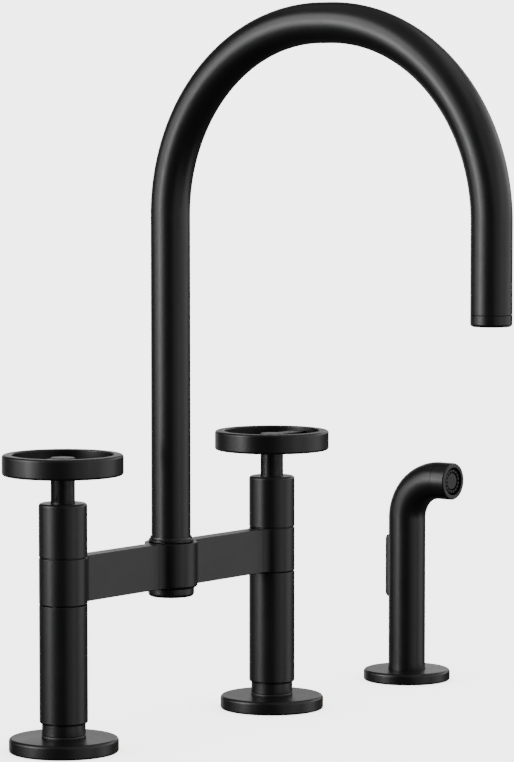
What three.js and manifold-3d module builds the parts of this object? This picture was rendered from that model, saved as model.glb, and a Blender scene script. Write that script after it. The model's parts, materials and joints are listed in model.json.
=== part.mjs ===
// A two-handwheel bridge kitchen faucet with a high arched spout and a side spray.
// Millimetres, +Z up. The origin lies on the deck plane, under the spout's column, midway
// between the two posts. The bridge runs along X and the spout reaches forward, to -Y.
import * as THREE from "three";
import { mergeVertices } from "three/addons/utils/BufferGeometryUtils.js";
import Module from "manifold-3d";

const wasm = await Module();
wasm.setup();

// ---------------------------------------------------------------- driving dimensions (mm)

// clearances
const SEAM = 0.35; // the dark line between two stacked pieces
const SEAT = 0.15; // between a seal or washer and what it seats on
const FIT = 0.3; // round a piece that sits in a bore, on the radius
const CUT_OVERRUN = 1; // how far a cutting tool runs past the face it opens

// the deck that the faucet is clamped to
const DECK_THICKNESS = 30;

// posts
const POST_CENTRES = 203.2;
const POST_RADIUS = 14.6;
const POST_HEIGHT = 71.6;
const POST_BORE = 6;
const POST_FOOT_CHAMFER = 1;
const EDGE_CHAMFER = 0.4;
const SPIGOT_RADIUS = 11.65;
const SPIGOT_HEIGHT = 7.25;

// escutcheons, gaskets, seals and necks
const ESCUTCHEON_RADIUS = 33.1;
const ESCUTCHEON_HEIGHT = 8.7;
const ESCUTCHEON_EDGE = 2;
const ESCUTCHEON_FOOT = 1.4;
const ESCUTCHEON_RIM = 2.6;
const GASKET_THICKNESS = 2.2;
const GASKET_BORE = 14;
const SEAL_RADIUS = 12.9;
const SEAL_HEIGHT = 1.55;
const NECK_RADIUS = 13.2;
const NECK_HEIGHT = 6.65;
const NECK_CHAMFER = 0.6;

// threaded supply shanks and what clamps them under the deck
const SHANK_RADIUS = 10.4;
const SHANK_BORE = 6.5;
const SHANK_BELOW_DECK = 75;
const SHANK_IN_POST = 16;
const DECK_WASHER_RADIUS = 22;
const DECK_WASHER_THICKNESS = 2;
const LOCK_NUT_CORNER = 17.5;
const LOCK_NUT_HEIGHT = 10;

// bridge body
const BRIDGE_HEIGHT = 27.8;
const BRIDGE_THICKNESS = 10.5;
const BRIDGE_FILLET = 9;
const BRIDGE_CHANNEL_RADIUS = 3.2;
const BRIDGE_CHANNEL_RISE = 10.9;
const HUB_RADIUS = 16.4;
const HUB_BORE = 9.3;
const HUB_FOOT_DROP = 0.3;
const HUB_FOOT_ROUND = 1.6;

// cap under the hub, and the diverter poppet above it
const CAP_RADIUS = 14.3;
const CAP_HEIGHT = 5.4;
const CAP_ROUND = 2.2;
const CAP_PLUG_HEIGHT = 5;
const CAP_POCKET_RADIUS = 6;
const CAP_FLOOR = 3;
const POPPET_BASE_RADIUS = 8.6;
const POPPET_BASE_THICKNESS = 1.5;
const POPPET_STEM_RADIUS = 2.6;
const POPPET_STEM_HEIGHT = 5.4;
const POPPET_HEAD_RADIUS = 7.4;
const POPPET_HEAD_THICKNESS = 1.2;
const POPPET_TRAVEL = 2.6;

// ceramic cartridges
const CARTRIDGE_BARREL = 9.2;
const CARTRIDGE_BARREL_HEIGHT = 8.8;
const CARTRIDGE_THREAD = 10.1;
const CARTRIDGE_FLANGE = 12.2;
const CARTRIDGE_FLANGE_HEIGHT = 6;
const CARTRIDGE_SHOULDER = 8.6;
const CARTRIDGE_SHOULDER_HEIGHT = 12.5;
const CARTRIDGE_NECK = 6.8;
const CARTRIDGE_CAVITY_HEIGHT = 10;
const CARTRIDGE_PORT_RADIUS = 2;
const SEAT_SEAL_HEIGHT = 2.35;
const SEAT_SEAL_BORE = 4.4;
const DISC_RADIUS = 7.3;
const DISC_THICKNESS = 2.5;
const DISC_PORT_RADIUS = 1.9;
const DISC_PORT_OFFSET = 3.7;
const SPINDLE_FOOT_RADIUS = 7;
const SPINDLE_FOOT_HEIGHT = 2.6;
const SPINDLE_RADIUS = 4;
const SPINDLE_IN_WHEEL = 15;

// upper sleeves
const SLEEVE_HEIGHT = 32.55;
const SLEEVE_ROUND = 1.7;
const SLEEVE_WEB = 1.5;

// handwheels
const WHEEL_RADIUS = 36.5;
const WHEEL_WALL = 6;
const WHEEL_HEIGHT = 12.4;
const WHEEL_ROUND = 1.6;
const WHEEL_INNER_CHAMFER = 0.8;
const WHEEL_STEM_RADIUS = 7.3;
const WHEEL_STEM_SHOWN = 16.45;
const WHEEL_HUB_RECESS = 1.9;
const SPOKE_WIDTH = 8.4;
const SPOKE_THICKNESS = 7.8;
const SPOKE_BELOW_HUB = 0.4;
const HANDLE_SCREW_RADIUS = 2;
const HANDLE_SCREW_RISE = 5.2;
const SCREW_SETBACK = 0.4; // how far a grub screw's end lies inside the surface

// spout
const SPOUT_RADIUS = 12.2;
const SPOUT_WALL = 1.8;
const SPOUT_COLUMN = 201.35;
const ARCH_RADIUS = 116.2;
const ARCH_FLAT = 7.5;
const SPOUT_DROP = 53;
const BASE_RING_RADIUS = 14;
const BASE_RING_WEB = 0.7;
const BASE_RING_BAND = 1.35;
const BASE_RING_FLARE = 1.8;
const BASE_RING_LIP = 0.45;
const SWIVEL_RADIUS = 9;
const SWIVEL_BORE = 6;
const SWIVEL_IN_TUBE = 9.3;
const SWIVEL_LAND = 1.25;
const O_RING_SECTION = 1;
const O_RING_GROOVE = 2.2;
const SCREW_GROOVE_DEPTH = 1.4;
const SPOUT_SCREW_RADIUS = 2.5;
const SPOUT_SCREW_TIP = 0.9;
const GLIDE_WASHER_RADIUS = 12.4;
const GLIDE_WASHER_THICKNESS = 1.15;
const GLIDE_WASHER_PROUD = 0.2;

// aerator at the spout's tip
const AERATOR_RING_HEIGHT = 6.7;
const AERATOR_RING_ROUND = 1.8;
const AERATOR_SPIGOT = 6.2;
const AERATOR_BORE = 9.4;
const AERATOR_THROAT = 8;
const AERATOR_THROAT_HEIGHT = 4.6;
const AERATOR_RECESS = 1.1;
const AERATOR_FLOOR = 2.3;
const AERATOR_CUP_WALL = 2.1;
const AERATOR_HOLE_RADIUS = 1;
const AERATOR_HOLE_CIRCLE = 4.2;
const AERATOR_HOLES = 6;
const AERATOR_WASHER_THICKNESS = 2;
const AERATOR_WASHER_BORE = 7.2;

// side spray: its socket in the deck
const SPRAY_CENTRE_X = 249.7;
const SPRAY_ESCUTCHEON_RADIUS = 29.1;
const SPRAY_ESCUTCHEON_HEIGHT = 7.4;
const SPRAY_ESCUTCHEON_WEB = 3.6;
const SPRAY_GASKET_BORE = 18;
const HOLDER_RADIUS = 16;
const HOLDER_WALL = 1.7;
const HOLDER_BELOW_DECK = 60;
const HOLDER_HOSE_BORE = 10.5;
const LINER_WALL = 1.3;
const LINER_LIP_BORE = 9;
const LINER_LIP_HEIGHT = 3.2;
const SPRAY_NUT_CORNER = 24;
const SPRAY_WASHER_RADIUS = 26;

// side spray: the handset
const SPRAY_RADIUS = 12.35;
const SPRAY_WALL = 2.2;
const SPRAY_TAIL = 20.8;
const SPRAY_STEM = 109.6;
const SPRAY_BEND = 26.9;
const HEAD_LENGTH = 11;
const HEAD_ROUND = 1;
const HEAD_BORE = 9.2;
const HEAD_BORE_DEPTH = 8;
const HEAD_SPIGOT = 1.8;
const HEAD_WATERWAY = 6;
const NOZZLE_RECESS = 0.9;
const NOZZLE_FLANGE_THICKNESS = 1.6;
const NOZZLE_RADIUS = 7.9;
const NOZZLE_GROOVE_OUTER = 5.7;
const NOZZLE_GROOVE_INNER = 5;
const NOZZLE_GROOVE_DEPTH = 1.5;
const INLET_PLUG_HEIGHT = 12.5;
const INLET_RADIUS = 6.6;
const INLET_BORE = 4;
const INLET_LENGTH = 17.2;

// side spray: trigger and valve, on the handset's back
const TRIGGER_BOTTOM = 55.5;
const TRIGGER_TOP = 98;
const TRIGGER_WIDTH = 8.4;
const TRIGGER_PROUD = 3.45;
const TRIGGER_ROUND = 2.4;
const TRIGGER_INNER = 7.2;
const TRIGGER_GAP = 0.4;
const PIN_RADIUS = 0.9;
const PIN_HALF_LENGTH = 5.8;
const PIN_BELOW_TOP = 5.5;
const PIN_OUT = 9.2;
const PIN_FIT = 0.2;
const VALVE_CENTRE_Z = 66;
const VALVE_HALF_HEIGHT = 6;
const VALVE_FLAT = 3.8;
const VALVE_WATERWAY_RADIUS = 1.8;
const VALVE_WATERWAY_OFFSET = 6.2;
const PLUNGER_RADIUS = 2.2;
const PLUNGER_HEAD_RADIUS = 3;
const PLUNGER_HEAD_THICKNESS = 1.2;
const PLUNGER_SHANK_END = -3.3;
const SPRING_BORE = 1.4;
const SPRING_LENGTH = 3.5;

// how finely round pieces are cut into flats (multiples of 4, so that fits stay aligned)
const RIM_SIDES = 32;
const BODY_SIDES = 24;
const TUBE_SIDES = 20;
const FIT_SIDES = 16;
const SMALL_SIDES = 8;
const BEND_STEPS = 10;
const SPRAY_BEND_STEPS = 8;

// ---------------------------------------------------------------- places that follow from them

const escutcheonTop = ESCUTCHEON_HEIGHT;
const sealBottom = escutcheonTop + SEAT;
const neckBottom = sealBottom + SEAL_HEIGHT + SEAT;
const neckTop = neckBottom + NECK_HEIGHT;
const postBottom = neckTop + SEAM;
const postTop = postBottom + POST_HEIGHT;
const bridgeBottom = postTop + SEAM;
const bridgeTop = bridgeBottom + BRIDGE_HEIGHT;
const sleeveBottom = bridgeTop + SEAM;
const sleeveTop = sleeveBottom + SLEEVE_HEIGHT;
const wheelStemBottom = sleeveTop + SEAM;
const wheelBottom = wheelStemBottom + WHEEL_STEM_SHOWN;
const wheelTop = wheelBottom + WHEEL_HEIGHT;
const wheelHubTop = wheelTop - WHEEL_HUB_RECESS;
const spokeTop = wheelHubTop - SPOKE_BELOW_HUB;

const shankTop = postBottom + SHANK_IN_POST;
const spigotTop = postTop + SPIGOT_HEIGHT;
const spigotBore = SPIGOT_RADIUS + FIT;
const spigotPocketTop = spigotTop + FIT;
const channelZ = bridgeBottom + BRIDGE_CHANNEL_RISE;
const hubBottom = bridgeBottom - HUB_FOOT_DROP;
const capTop = hubBottom - SEAM;
const capBottom = capTop - CAP_HEIGHT;
const plugTop = capTop + CAP_PLUG_HEIGHT;

const sealSeat = spigotTop + SEAT;
const cartridgeBottom = sealSeat + SEAT_SEAL_HEIGHT / 2;
const cavityRadius = DISC_RADIUS + FIT;
const cavityTop = cartridgeBottom + CARTRIDGE_CAVITY_HEIGHT;
const fixedDiscBottom = sealSeat + SEAT_SEAL_HEIGHT + SEAT;
const turningDiscBottom = fixedDiscBottom + DISC_THICKNESS + SEAT;
const spindleBottom = turningDiscBottom + DISC_THICKNESS + SEAT;
const spindleTop = wheelStemBottom + SPINDLE_IN_WHEEL;
const cartridgeTop = sleeveTop - SLEEVE_WEB / 2;
const threadBore = CARTRIDGE_THREAD + FIT;
const flangeBottom = bridgeTop + SEAT;
const flangeTop = flangeBottom + CARTRIDGE_FLANGE_HEIGHT;
const shoulderTop = flangeTop + CARTRIDGE_SHOULDER_HEIGHT;

const spoutBore = SPOUT_RADIUS - SPOUT_WALL;
const washerSeat = bridgeTop + GLIDE_WASHER_PROUD - GLIDE_WASHER_THICKNESS;
const baseRingBottom = bridgeTop + GLIDE_WASHER_PROUD + SEAT;
const tubeBottom = baseRingBottom + BASE_RING_WEB + FIT;
const archZ = tubeBottom + SPOUT_COLUMN;
const spoutReach = 2 * ARCH_RADIUS + ARCH_FLAT;
const tubeEnd = archZ - SPOUT_DROP;
const aeratorTop = tubeEnd - SEAM;
const aeratorBottom = aeratorTop - AERATOR_RING_HEIGHT;
const spigotEnd = aeratorTop + AERATOR_SPIGOT;
const poppetTop =
  plugTop + FIT + POPPET_BASE_THICKNESS + POPPET_STEM_HEIGHT + POPPET_HEAD_THICKNESS;
const swivelBottom = poppetTop + POPPET_TRAVEL + FIT;

const holderTop = SPRAY_ESCUTCHEON_HEIGHT - SPRAY_ESCUTCHEON_WEB - FIT;
const linerOuter = HOLDER_RADIUS - HOLDER_WALL - FIT;
const linerBore = linerOuter - LINER_WALL;
const lipTop = -SPRAY_TAIL - SEAT;
const linerBottom = lipTop - LINER_LIP_HEIGHT;
const sprayBore = SPRAY_RADIUS - SPRAY_WALL;
const headZ = SPRAY_STEM + SPRAY_BEND;
const headBack = SPRAY_BEND + SEAT;
const headFront = headBack + HEAD_LENGTH;
const headFloor = headFront - HEAD_BORE_DEPTH;
const pinZ = TRIGGER_TOP - PIN_BELOW_TOP;
const plungerTip = TRIGGER_INNER - TRIGGER_GAP;
const plungerBack = PLUNGER_SHANK_END - PLUNGER_HEAD_THICKNESS;
const springBack = plungerBack - FIT - SPRING_LENGTH;

// ---------------------------------------------------------------- finishes

function finish(color, roughness, metalness) {
  return new THREE.MeshStandardMaterial({ color, roughness, metalness });
}

const matteBlack = finish(0x1b1b1c, 0.42, 0.35);
const brass = finish(0xb08d4f, 0.35, 1);
const steel = finish(0x8d9094, 0.35, 1);
const rubber = finish(0x111111, 0.85, 0);
const nylon = finish(0x2a2a2b, 0.6, 0);
const ceramic = finish(0xe8e6e0, 0.25, 0);

// ---------------------------------------------------------------- solids

// A closed body from a three.js geometry, with shared corners merged and faces turned out.
function solid(geometry) {
  const bare = geometry.clone();
  bare.deleteAttribute("normal");
  bare.deleteAttribute("uv");
  const merged = mergeVertices(bare, 1e-4);
  const corners = merged.attributes.position.array;
  const index = merged.index.array;
  const faces = [];
  let volume = 0;
  const [a, b, c] = [new THREE.Vector3(), new THREE.Vector3(), new THREE.Vector3()];
  for (let i = 0; i < index.length; i += 3) {
    const [p, q, r] = [index[i], index[i + 1], index[i + 2]];
    if (p === q || q === r || r === p) continue;
    faces.push(p, q, r);
    a.fromArray(corners, 3 * p);
    b.fromArray(corners, 3 * q);
    c.fromArray(corners, 3 * r);
    volume += a.dot(b.cross(c));
  }
  if (volume < 0) faces.reverse();
  const vertProperties = new Float32Array(corners);
  const triVerts = new Uint32Array(faces);
  return new wasm.Manifold(new wasm.Mesh({ numProp: 3, vertProperties, triVerts }));
}

function cut(body, ...tools) {
  return tools.reduce((left, tool) => left.subtract(tool), body);
}

function join(...bodies) {
  return bodies.reduce((all, body) => all.add(body));
}

// A turned body. Its outline is a list of [radius, height] corners that starts and ends on the
// axis or is a closed ring. The axis points up, to the front (-Y) or to the back (+Y).
const TURNS = { up: Math.PI / 2, front: Math.PI, back: 0 };

function turned(outline, sides, axis = "up", place = [0, 0, 0]) {
  const corners = outline.map(([radius, height]) => new THREE.Vector2(radius, height));
  const onAxis = outline[0][0] === 0;
  if (!onAxis) corners.push(corners[0].clone());
  const geometry = new THREE.LatheGeometry(corners, sides);
  geometry.rotateX(TURNS[axis]);
  geometry.translate(...place);
  return solid(geometry);
}

// A plain tube or washer.
function tube(inner, outer, bottom, top) {
  return [[inner, bottom], [outer, bottom], [outer, top], [inner, top]];
}

// The quarter round of an edge, from one direction to the next, in degrees.
function round(radius, height, size, from, to, steps = 2) {
  return Array.from({ length: steps + 1 }, (_, i) => {
    const angle = THREE.MathUtils.degToRad(from + ((to - from) * i) / steps);
    return [radius + size * Math.cos(angle), height + size * Math.sin(angle)];
  });
}

function rod(radius, from, to, sides, axis, place) {
  return turned([[0, from], [radius, from], [radius, to], [0, to]], sides, axis, place);
}

function crossRod(radius, fromX, toX, sides, place = [0, 0, 0]) {
  const geometry = new THREE.CylinderGeometry(radius, radius, toX - fromX, sides);
  geometry.rotateZ(Math.PI / 2);
  geometry.translate(place[0] + (fromX + toX) / 2, place[1], place[2]);
  return solid(geometry);
}

function block(low, high) {
  const size = high.map((value, i) => value - low[i]);
  const geometry = new THREE.BoxGeometry(...size);
  geometry.translate(...high.map((value, i) => (value + low[i]) / 2));
  return solid(geometry);
}

function circle(radius, sides) {
  return Array.from({ length: sides }, (_, i) => {
    const angle = (2 * Math.PI * i) / sides;
    return new THREE.Vector2(radius * Math.cos(angle), radius * Math.sin(angle));
  });
}

function plate(outline, hole, bottom, top) {
  const shape = new THREE.Shape(outline);
  if (hole) shape.holes.push(new THREE.Path(hole));
  const geometry = new THREE.ExtrudeGeometry(shape, { depth: top - bottom, bevelEnabled: false });
  geometry.translate(0, 0, bottom);
  return solid(geometry);
}

// A path of straight runs and bends, each cut into its own number of steps.
class PipePath extends THREE.Curve {
  constructor(runs) {
    super();
    this.runs = runs;
    this.steps = runs.reduce((sum, run) => sum + run.steps, 0);
  }

  getPoint(t, target = new THREE.Vector3()) {
    let place = t * this.steps;
    for (const run of this.runs) {
      if (place <= run.steps || run === this.runs.at(-1)) {
        return target.copy(run.at(place / run.steps));
      }
      place -= run.steps;
    }
    return target;
  }

  getUtoTmapping(u) {
    return u;
  }
}

function straight(from, to) {
  return { steps: 1, at: (t) => new THREE.Vector3().lerpVectors(from, to, t) };
}

function bend(y, z, radius, from, to, steps) {
  return {
    steps,
    at: (t) => {
      const angle = from + (to - from) * t;
      return new THREE.Vector3(0, y + radius * Math.cos(angle), z + radius * Math.sin(angle));
    },
  };
}

function pipe(runs, radius, bore, place) {
  const shape = new THREE.Shape(circle(radius, TUBE_SIDES));
  shape.holes.push(new THREE.Path(circle(bore, FIT_SIDES)));
  const extrudePath = new PipePath(runs);
  const geometry = new THREE.ExtrudeGeometry(shape, { steps: extrudePath.steps, extrudePath });
  geometry.translate(...place);
  return solid(geometry);
}

// ---------------------------------------------------------------- the assembly

const faucet = new THREE.Group();

function add(group, name, body, material) {
  const { vertProperties, triVerts } = body.getMesh();
  const geometry = new THREE.BufferGeometry();
  geometry.setAttribute("position", new THREE.BufferAttribute(vertProperties, 3));
  geometry.setIndex(new THREE.BufferAttribute(triVerts, 1));
  geometry.computeVertexNormals();
  const mesh = new THREE.Mesh(geometry, material);
  mesh.name = name;
  group.add(mesh);
}

// Everything that clamps a threaded tube to the deck, from below.
function deckWasher(threadRadius, radius) {
  const bottom = -DECK_THICKNESS - DECK_WASHER_THICKNESS;
  return turned(tube(threadRadius + FIT, radius, bottom, -DECK_THICKNESS), FIT_SIDES);
}

function lockNut(threadRadius, corner) {
  const top = -DECK_THICKNESS - DECK_WASHER_THICKNESS - SEAT;
  const hole = circle(threadRadius + FIT, FIT_SIDES);
  return plate(circle(corner, 6), hole, top - LOCK_NUT_HEIGHT, top);
}

// The outside of an escutcheon, from the recess for its gasket round the rim to its top.
function escutcheonRim(radius, height) {
  const recess = radius - ESCUTCHEON_RIM;
  const foot = ESCUTCHEON_FOOT;
  const edge = ESCUTCHEON_EDGE;
  return [
    [recess, GASKET_THICKNESS + FIT],
    [recess, 0],
    ...round(radius - foot, foot, foot, -90, 0),
    ...round(radius - edge, height - edge, edge, 0, 90),
  ];
}

function postEscutcheon() {
  const bore = SHANK_RADIUS + FIT;
  return turned([
    [bore, GASKET_THICKNESS + FIT],
    ...escutcheonRim(ESCUTCHEON_RADIUS, escutcheonTop),
    [bore, escutcheonTop],
  ], RIM_SIDES);
}

function neckRing() {
  const bore = SHANK_RADIUS + FIT;
  return turned([
    [bore, neckBottom],
    [NECK_RADIUS - NECK_CHAMFER, neckBottom],
    [NECK_RADIUS, neckBottom + NECK_CHAMFER],
    [NECK_RADIUS, neckTop],
    [bore, neckTop],
  ], BODY_SIDES);
}

function lowerPost() {
  const socket = SHANK_RADIUS + FIT;
  return turned([
    [socket, postBottom],
    [POST_RADIUS - POST_FOOT_CHAMFER, postBottom],
    [POST_RADIUS, postBottom + POST_FOOT_CHAMFER],
    [POST_RADIUS, postTop - EDGE_CHAMFER],
    [POST_RADIUS - EDGE_CHAMFER, postTop],
    [SPIGOT_RADIUS, postTop],
    [SPIGOT_RADIUS, spigotTop],
    [POST_BORE, spigotTop],
    [POST_BORE, shankTop + FIT],
    [socket, shankTop + FIT],
  ], BODY_SIDES);
}

function upperSleeve() {
  const bore = CARTRIDGE_FLANGE + FIT;
  const mouth = CARTRIDGE_NECK + FIT;
  return turned([
    [bore, sleeveBottom],
    [POST_RADIUS - EDGE_CHAMFER, sleeveBottom],
    [POST_RADIUS, sleeveBottom + EDGE_CHAMFER],
    ...round(POST_RADIUS - SLEEVE_ROUND, sleeveTop - SLEEVE_ROUND, SLEEVE_ROUND, 0, 90),
    [mouth, sleeveTop],
    [mouth, sleeveTop - SLEEVE_WEB],
    [bore, sleeveTop - SLEEVE_WEB],
  ], BODY_SIDES);
}

function cartridgeBody() {
  const barrelTop = cartridgeBottom + CARTRIDGE_BARREL_HEIGHT;
  const body = turned([
    [cavityRadius, cartridgeBottom],
    [CARTRIDGE_BARREL, cartridgeBottom],
    [CARTRIDGE_BARREL, barrelTop],
    [CARTRIDGE_THREAD, barrelTop],
    [CARTRIDGE_THREAD, flangeBottom],
    [CARTRIDGE_FLANGE, flangeBottom],
    [CARTRIDGE_FLANGE, flangeTop],
    [CARTRIDGE_SHOULDER, flangeTop],
    [CARTRIDGE_SHOULDER, shoulderTop],
    [CARTRIDGE_NECK, shoulderTop],
    [CARTRIDGE_NECK, cartridgeTop],
    [SPINDLE_RADIUS + FIT, cartridgeTop],
    [SPINDLE_RADIUS + FIT, cavityTop],
    [cavityRadius, cavityTop],
  ], FIT_SIDES);
  const portZ = turningDiscBottom + DISC_THICKNESS / 2;
  const reach = CARTRIDGE_BARREL + CUT_OVERRUN;
  return cut(body, crossRod(CARTRIDGE_PORT_RADIUS, -reach, reach, SMALL_SIDES, [0, 0, portZ]));
}

function ceramicDisc(bottom) {
  const disc = rod(DISC_RADIUS, bottom, bottom + DISC_THICKNESS, FIT_SIDES);
  const low = bottom - CUT_OVERRUN;
  const high = bottom + DISC_THICKNESS + CUT_OVERRUN;
  const ports = [-DISC_PORT_OFFSET, DISC_PORT_OFFSET].map((y) =>
    rod(DISC_PORT_RADIUS, low, high, SMALL_SIDES, "up", [0, y, 0]));
  return cut(disc, ...ports);
}

function spindle() {
  const footTop = spindleBottom + SPINDLE_FOOT_HEIGHT;
  return turned([
    [0, spindleBottom],
    [SPINDLE_FOOT_RADIUS, spindleBottom],
    [SPINDLE_FOOT_RADIUS, footTop],
    [SPINDLE_RADIUS, footTop],
    [SPINDLE_RADIUS, spindleTop],
    [0, spindleTop],
  ], FIT_SIDES);
}

// The ring, its one spoke pointing outwards, and the stem, whose spigot in the sleeve's mouth
// hides the spindle.
function handwheel(outwards) {
  const inner = WHEEL_RADIUS - WHEEL_WALL;
  const lip = inner + WHEEL_INNER_CHAMFER;
  const edge = WHEEL_RADIUS - WHEEL_ROUND;
  const ring = turned([
    [inner, wheelBottom + WHEEL_INNER_CHAMFER],
    [lip, wheelBottom],
    ...round(edge, wheelBottom + WHEEL_ROUND, WHEEL_ROUND, -90, 0),
    ...round(edge, wheelTop - WHEEL_ROUND, WHEEL_ROUND, 0, 90),
    [lip, wheelTop],
    [inner, wheelTop - WHEEL_INNER_CHAMFER],
  ], RIM_SIDES);
  const socket = SPINDLE_RADIUS + FIT;
  const spigotEnd = cartridgeTop + FIT;
  const stem = turned([
    [0, spindleTop + FIT],
    [socket, spindleTop + FIT],
    [socket, spigotEnd],
    [CARTRIDGE_NECK, spigotEnd],
    [CARTRIDGE_NECK, wheelStemBottom],
    [WHEEL_STEM_RADIUS, wheelStemBottom],
    [WHEEL_STEM_RADIUS, wheelHubTop],
    [0, wheelHubTop],
  ], FIT_SIDES);
  const near = WHEEL_STEM_RADIUS / 2;
  const far = inner + WHEEL_WALL / 3;
  const [fromX, toX] = outwards > 0 ? [near, far] : [-far, -near];
  const spoke = block(
    [fromX, -SPOKE_WIDTH / 2, spokeTop - SPOKE_THICKNESS],
    [toX, SPOKE_WIDTH / 2, spokeTop],
  );
  const screwZ = wheelStemBottom + HANDLE_SCREW_RISE;
  const screwHole = rod(HANDLE_SCREW_RADIUS + FIT, SPINDLE_RADIUS / 2,
    WHEEL_STEM_RADIUS + CUT_OVERRUN, SMALL_SIDES, "back", [0, 0, screwZ]);
  return cut(join(ring, stem, spoke), screwHole);
}

function handleScrew() {
  const screwZ = wheelStemBottom + HANDLE_SCREW_RISE;
  return rod(HANDLE_SCREW_RADIUS, SPINDLE_RADIUS + FIT, WHEEL_STEM_RADIUS - SCREW_SETBACK,
    SMALL_SIDES, "back", [0, 0, screwZ]);
}

for (const [side, outwards] of [["left", -1], ["right", 1]]) {
  const post = new THREE.Group();
  post.position.x = (outwards * POST_CENTRES) / 2;
  faucet.add(post);
  const gasketRadius = ESCUTCHEON_RADIUS - ESCUTCHEON_RIM - FIT;
  const gasket = tube(GASKET_BORE, gasketRadius, 0, GASKET_THICKNESS);
  const seal = tube(SHANK_RADIUS + FIT, SEAL_RADIUS, sealBottom, sealBottom + SEAL_HEIGHT);
  const shank = tube(SHANK_BORE, SHANK_RADIUS, -SHANK_BELOW_DECK, shankTop);
  const seatSeal = tube(SEAT_SEAL_BORE, DISC_RADIUS, sealSeat, sealSeat + SEAT_SEAL_HEIGHT);
  add(post, `deck_gasket_${side}`, turned(gasket, FIT_SIDES), rubber);
  add(post, `escutcheon_${side}`, postEscutcheon(), matteBlack);
  add(post, `neck_seal_${side}`, turned(seal, BODY_SIDES), rubber);
  add(post, `neck_ring_${side}`, neckRing(), matteBlack);
  add(post, `supply_shank_${side}`, turned(shank, FIT_SIDES), brass);
  add(post, `deck_washer_${side}`, deckWasher(SHANK_RADIUS, DECK_WASHER_RADIUS), steel);
  add(post, `lock_nut_${side}`, lockNut(SHANK_RADIUS, LOCK_NUT_CORNER), brass);
  add(post, `lower_post_${side}`, lowerPost(), matteBlack);
  add(post, `upper_sleeve_${side}`, upperSleeve(), matteBlack);
  add(post, `seat_seal_${side}`, turned(seatSeal, FIT_SIDES), rubber);
  add(post, `fixed_disc_${side}`, ceramicDisc(fixedDiscBottom), ceramic);
  add(post, `turning_disc_${side}`, ceramicDisc(turningDiscBottom), ceramic);
  add(post, `cartridge_body_${side}`, cartridgeBody(), brass);
  add(post, `spindle_${side}`, spindle(), brass);
  add(post, `handwheel_${side}`, handwheel(outwards), matteBlack);
  add(post, `handle_screw_${side}`, handleScrew(), steel);
}

// ---------------------------------------------------------------- bridge

// The plan of the bridge: two collars and the hub, joined by the bar with tangent fillets. Near
// its foot the hub is left out, down to what joins the fillets.
function bridgeOutline(withHub) {
  const half = BRIDGE_THICKNESS / 2;
  const filletY = half + BRIDGE_FILLET;
  const outline = [];
  const arc = (x, y, radius, from, to, steps) => {
    for (let i = 0; i <= steps; i += 1) {
      const angle = from + ((to - from) * i) / steps;
      outline.push(new THREE.Vector2(x + radius * Math.cos(angle), y + radius * Math.sin(angle)));
    }
  };
  const reach = (radius) => Math.sqrt((radius + BRIDGE_FILLET) ** 2 - filletY ** 2);
  const collarX = POST_CENTRES / 2;
  const collarReach = reach(POST_RADIUS);
  const hubReach = reach(HUB_RADIUS);
  const collarTilt = Math.atan2(filletY, collarReach);
  const hubTilt = Math.atan2(filletY, hubReach);
  const quarter = Math.PI / 2;
  const filletSteps = 4;
  // one end, then the fillets along the back, the other end, and the fillets along the front
  for (const [sign, turn] of [[1, 0], [-1, Math.PI]]) {
    const fillet = (x, from, to) =>
      arc(sign * x, sign * filletY, BRIDGE_FILLET, turn + from, turn + to, filletSteps);
    arc(sign * collarX, 0, POST_RADIUS, turn + collarTilt - Math.PI, turn + Math.PI - collarTilt,
      BODY_SIDES - filletSteps);
    fillet(collarX - collarReach, -collarTilt, -quarter);
    fillet(hubReach, -quarter, hubTilt - Math.PI);
    const hubSteps = withHub ? filletSteps * 2 : 1;
    arc(0, 0, HUB_RADIUS, turn + hubTilt, turn + Math.PI - hubTilt, hubSteps);
    fillet(-hubReach, -hubTilt, -quarter);
    fillet(collarReach - collarX, -quarter, collarTilt - Math.PI);
  }
  return outline.filter((corner, i) => i === 0 || corner.distanceTo(outline[i - 1]) > 1e-3);
}

function bridgeBody() {
  const footTop = hubBottom + HUB_FOOT_ROUND;
  const foot = turned([
    [0, hubBottom],
    ...round(HUB_RADIUS - HUB_FOOT_ROUND, footTop, HUB_FOOT_ROUND, -90, 0),
    [0, footTop],
  ], BODY_SIDES);
  const lower = plate(bridgeOutline(false), null, bridgeBottom, footTop);
  const upper = plate(bridgeOutline(true), null, footTop, bridgeTop);
  const casting = join(upper, lower, foot);
  const below = hubBottom - CUT_OVERRUN;
  const above = bridgeTop + CUT_OVERRUN;
  const hubBore = turned([
    [0, below],
    [HUB_BORE, below],
    [HUB_BORE, washerSeat - SEAT],
    [GLIDE_WASHER_RADIUS + FIT, washerSeat - SEAT],
    [GLIDE_WASHER_RADIUS + FIT, above],
    [0, above],
  ], BODY_SIDES);
  const collarBores = [-1, 1].map((sign) => turned([
    [0, below],
    [spigotBore, below],
    [spigotBore, spigotPocketTop],
    [threadBore, spigotPocketTop],
    [threadBore, above],
    [0, above],
  ], BODY_SIDES, "up", [(sign * POST_CENTRES) / 2, 0, 0]));
  const channelEnd = POST_CENTRES / 2;
  const channel = crossRod(BRIDGE_CHANNEL_RADIUS, -channelEnd, channelEnd, SMALL_SIDES,
    [0, 0, channelZ]);
  const screwHole = rod(SPOUT_SCREW_RADIUS + FIT, HUB_BORE / 2, HUB_RADIUS + CUT_OVERRUN,
    SMALL_SIDES, "back", [0, 0, swivelScrewZ]);
  return cut(casting, hubBore, ...collarBores, channel, screwHole);
}

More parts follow.
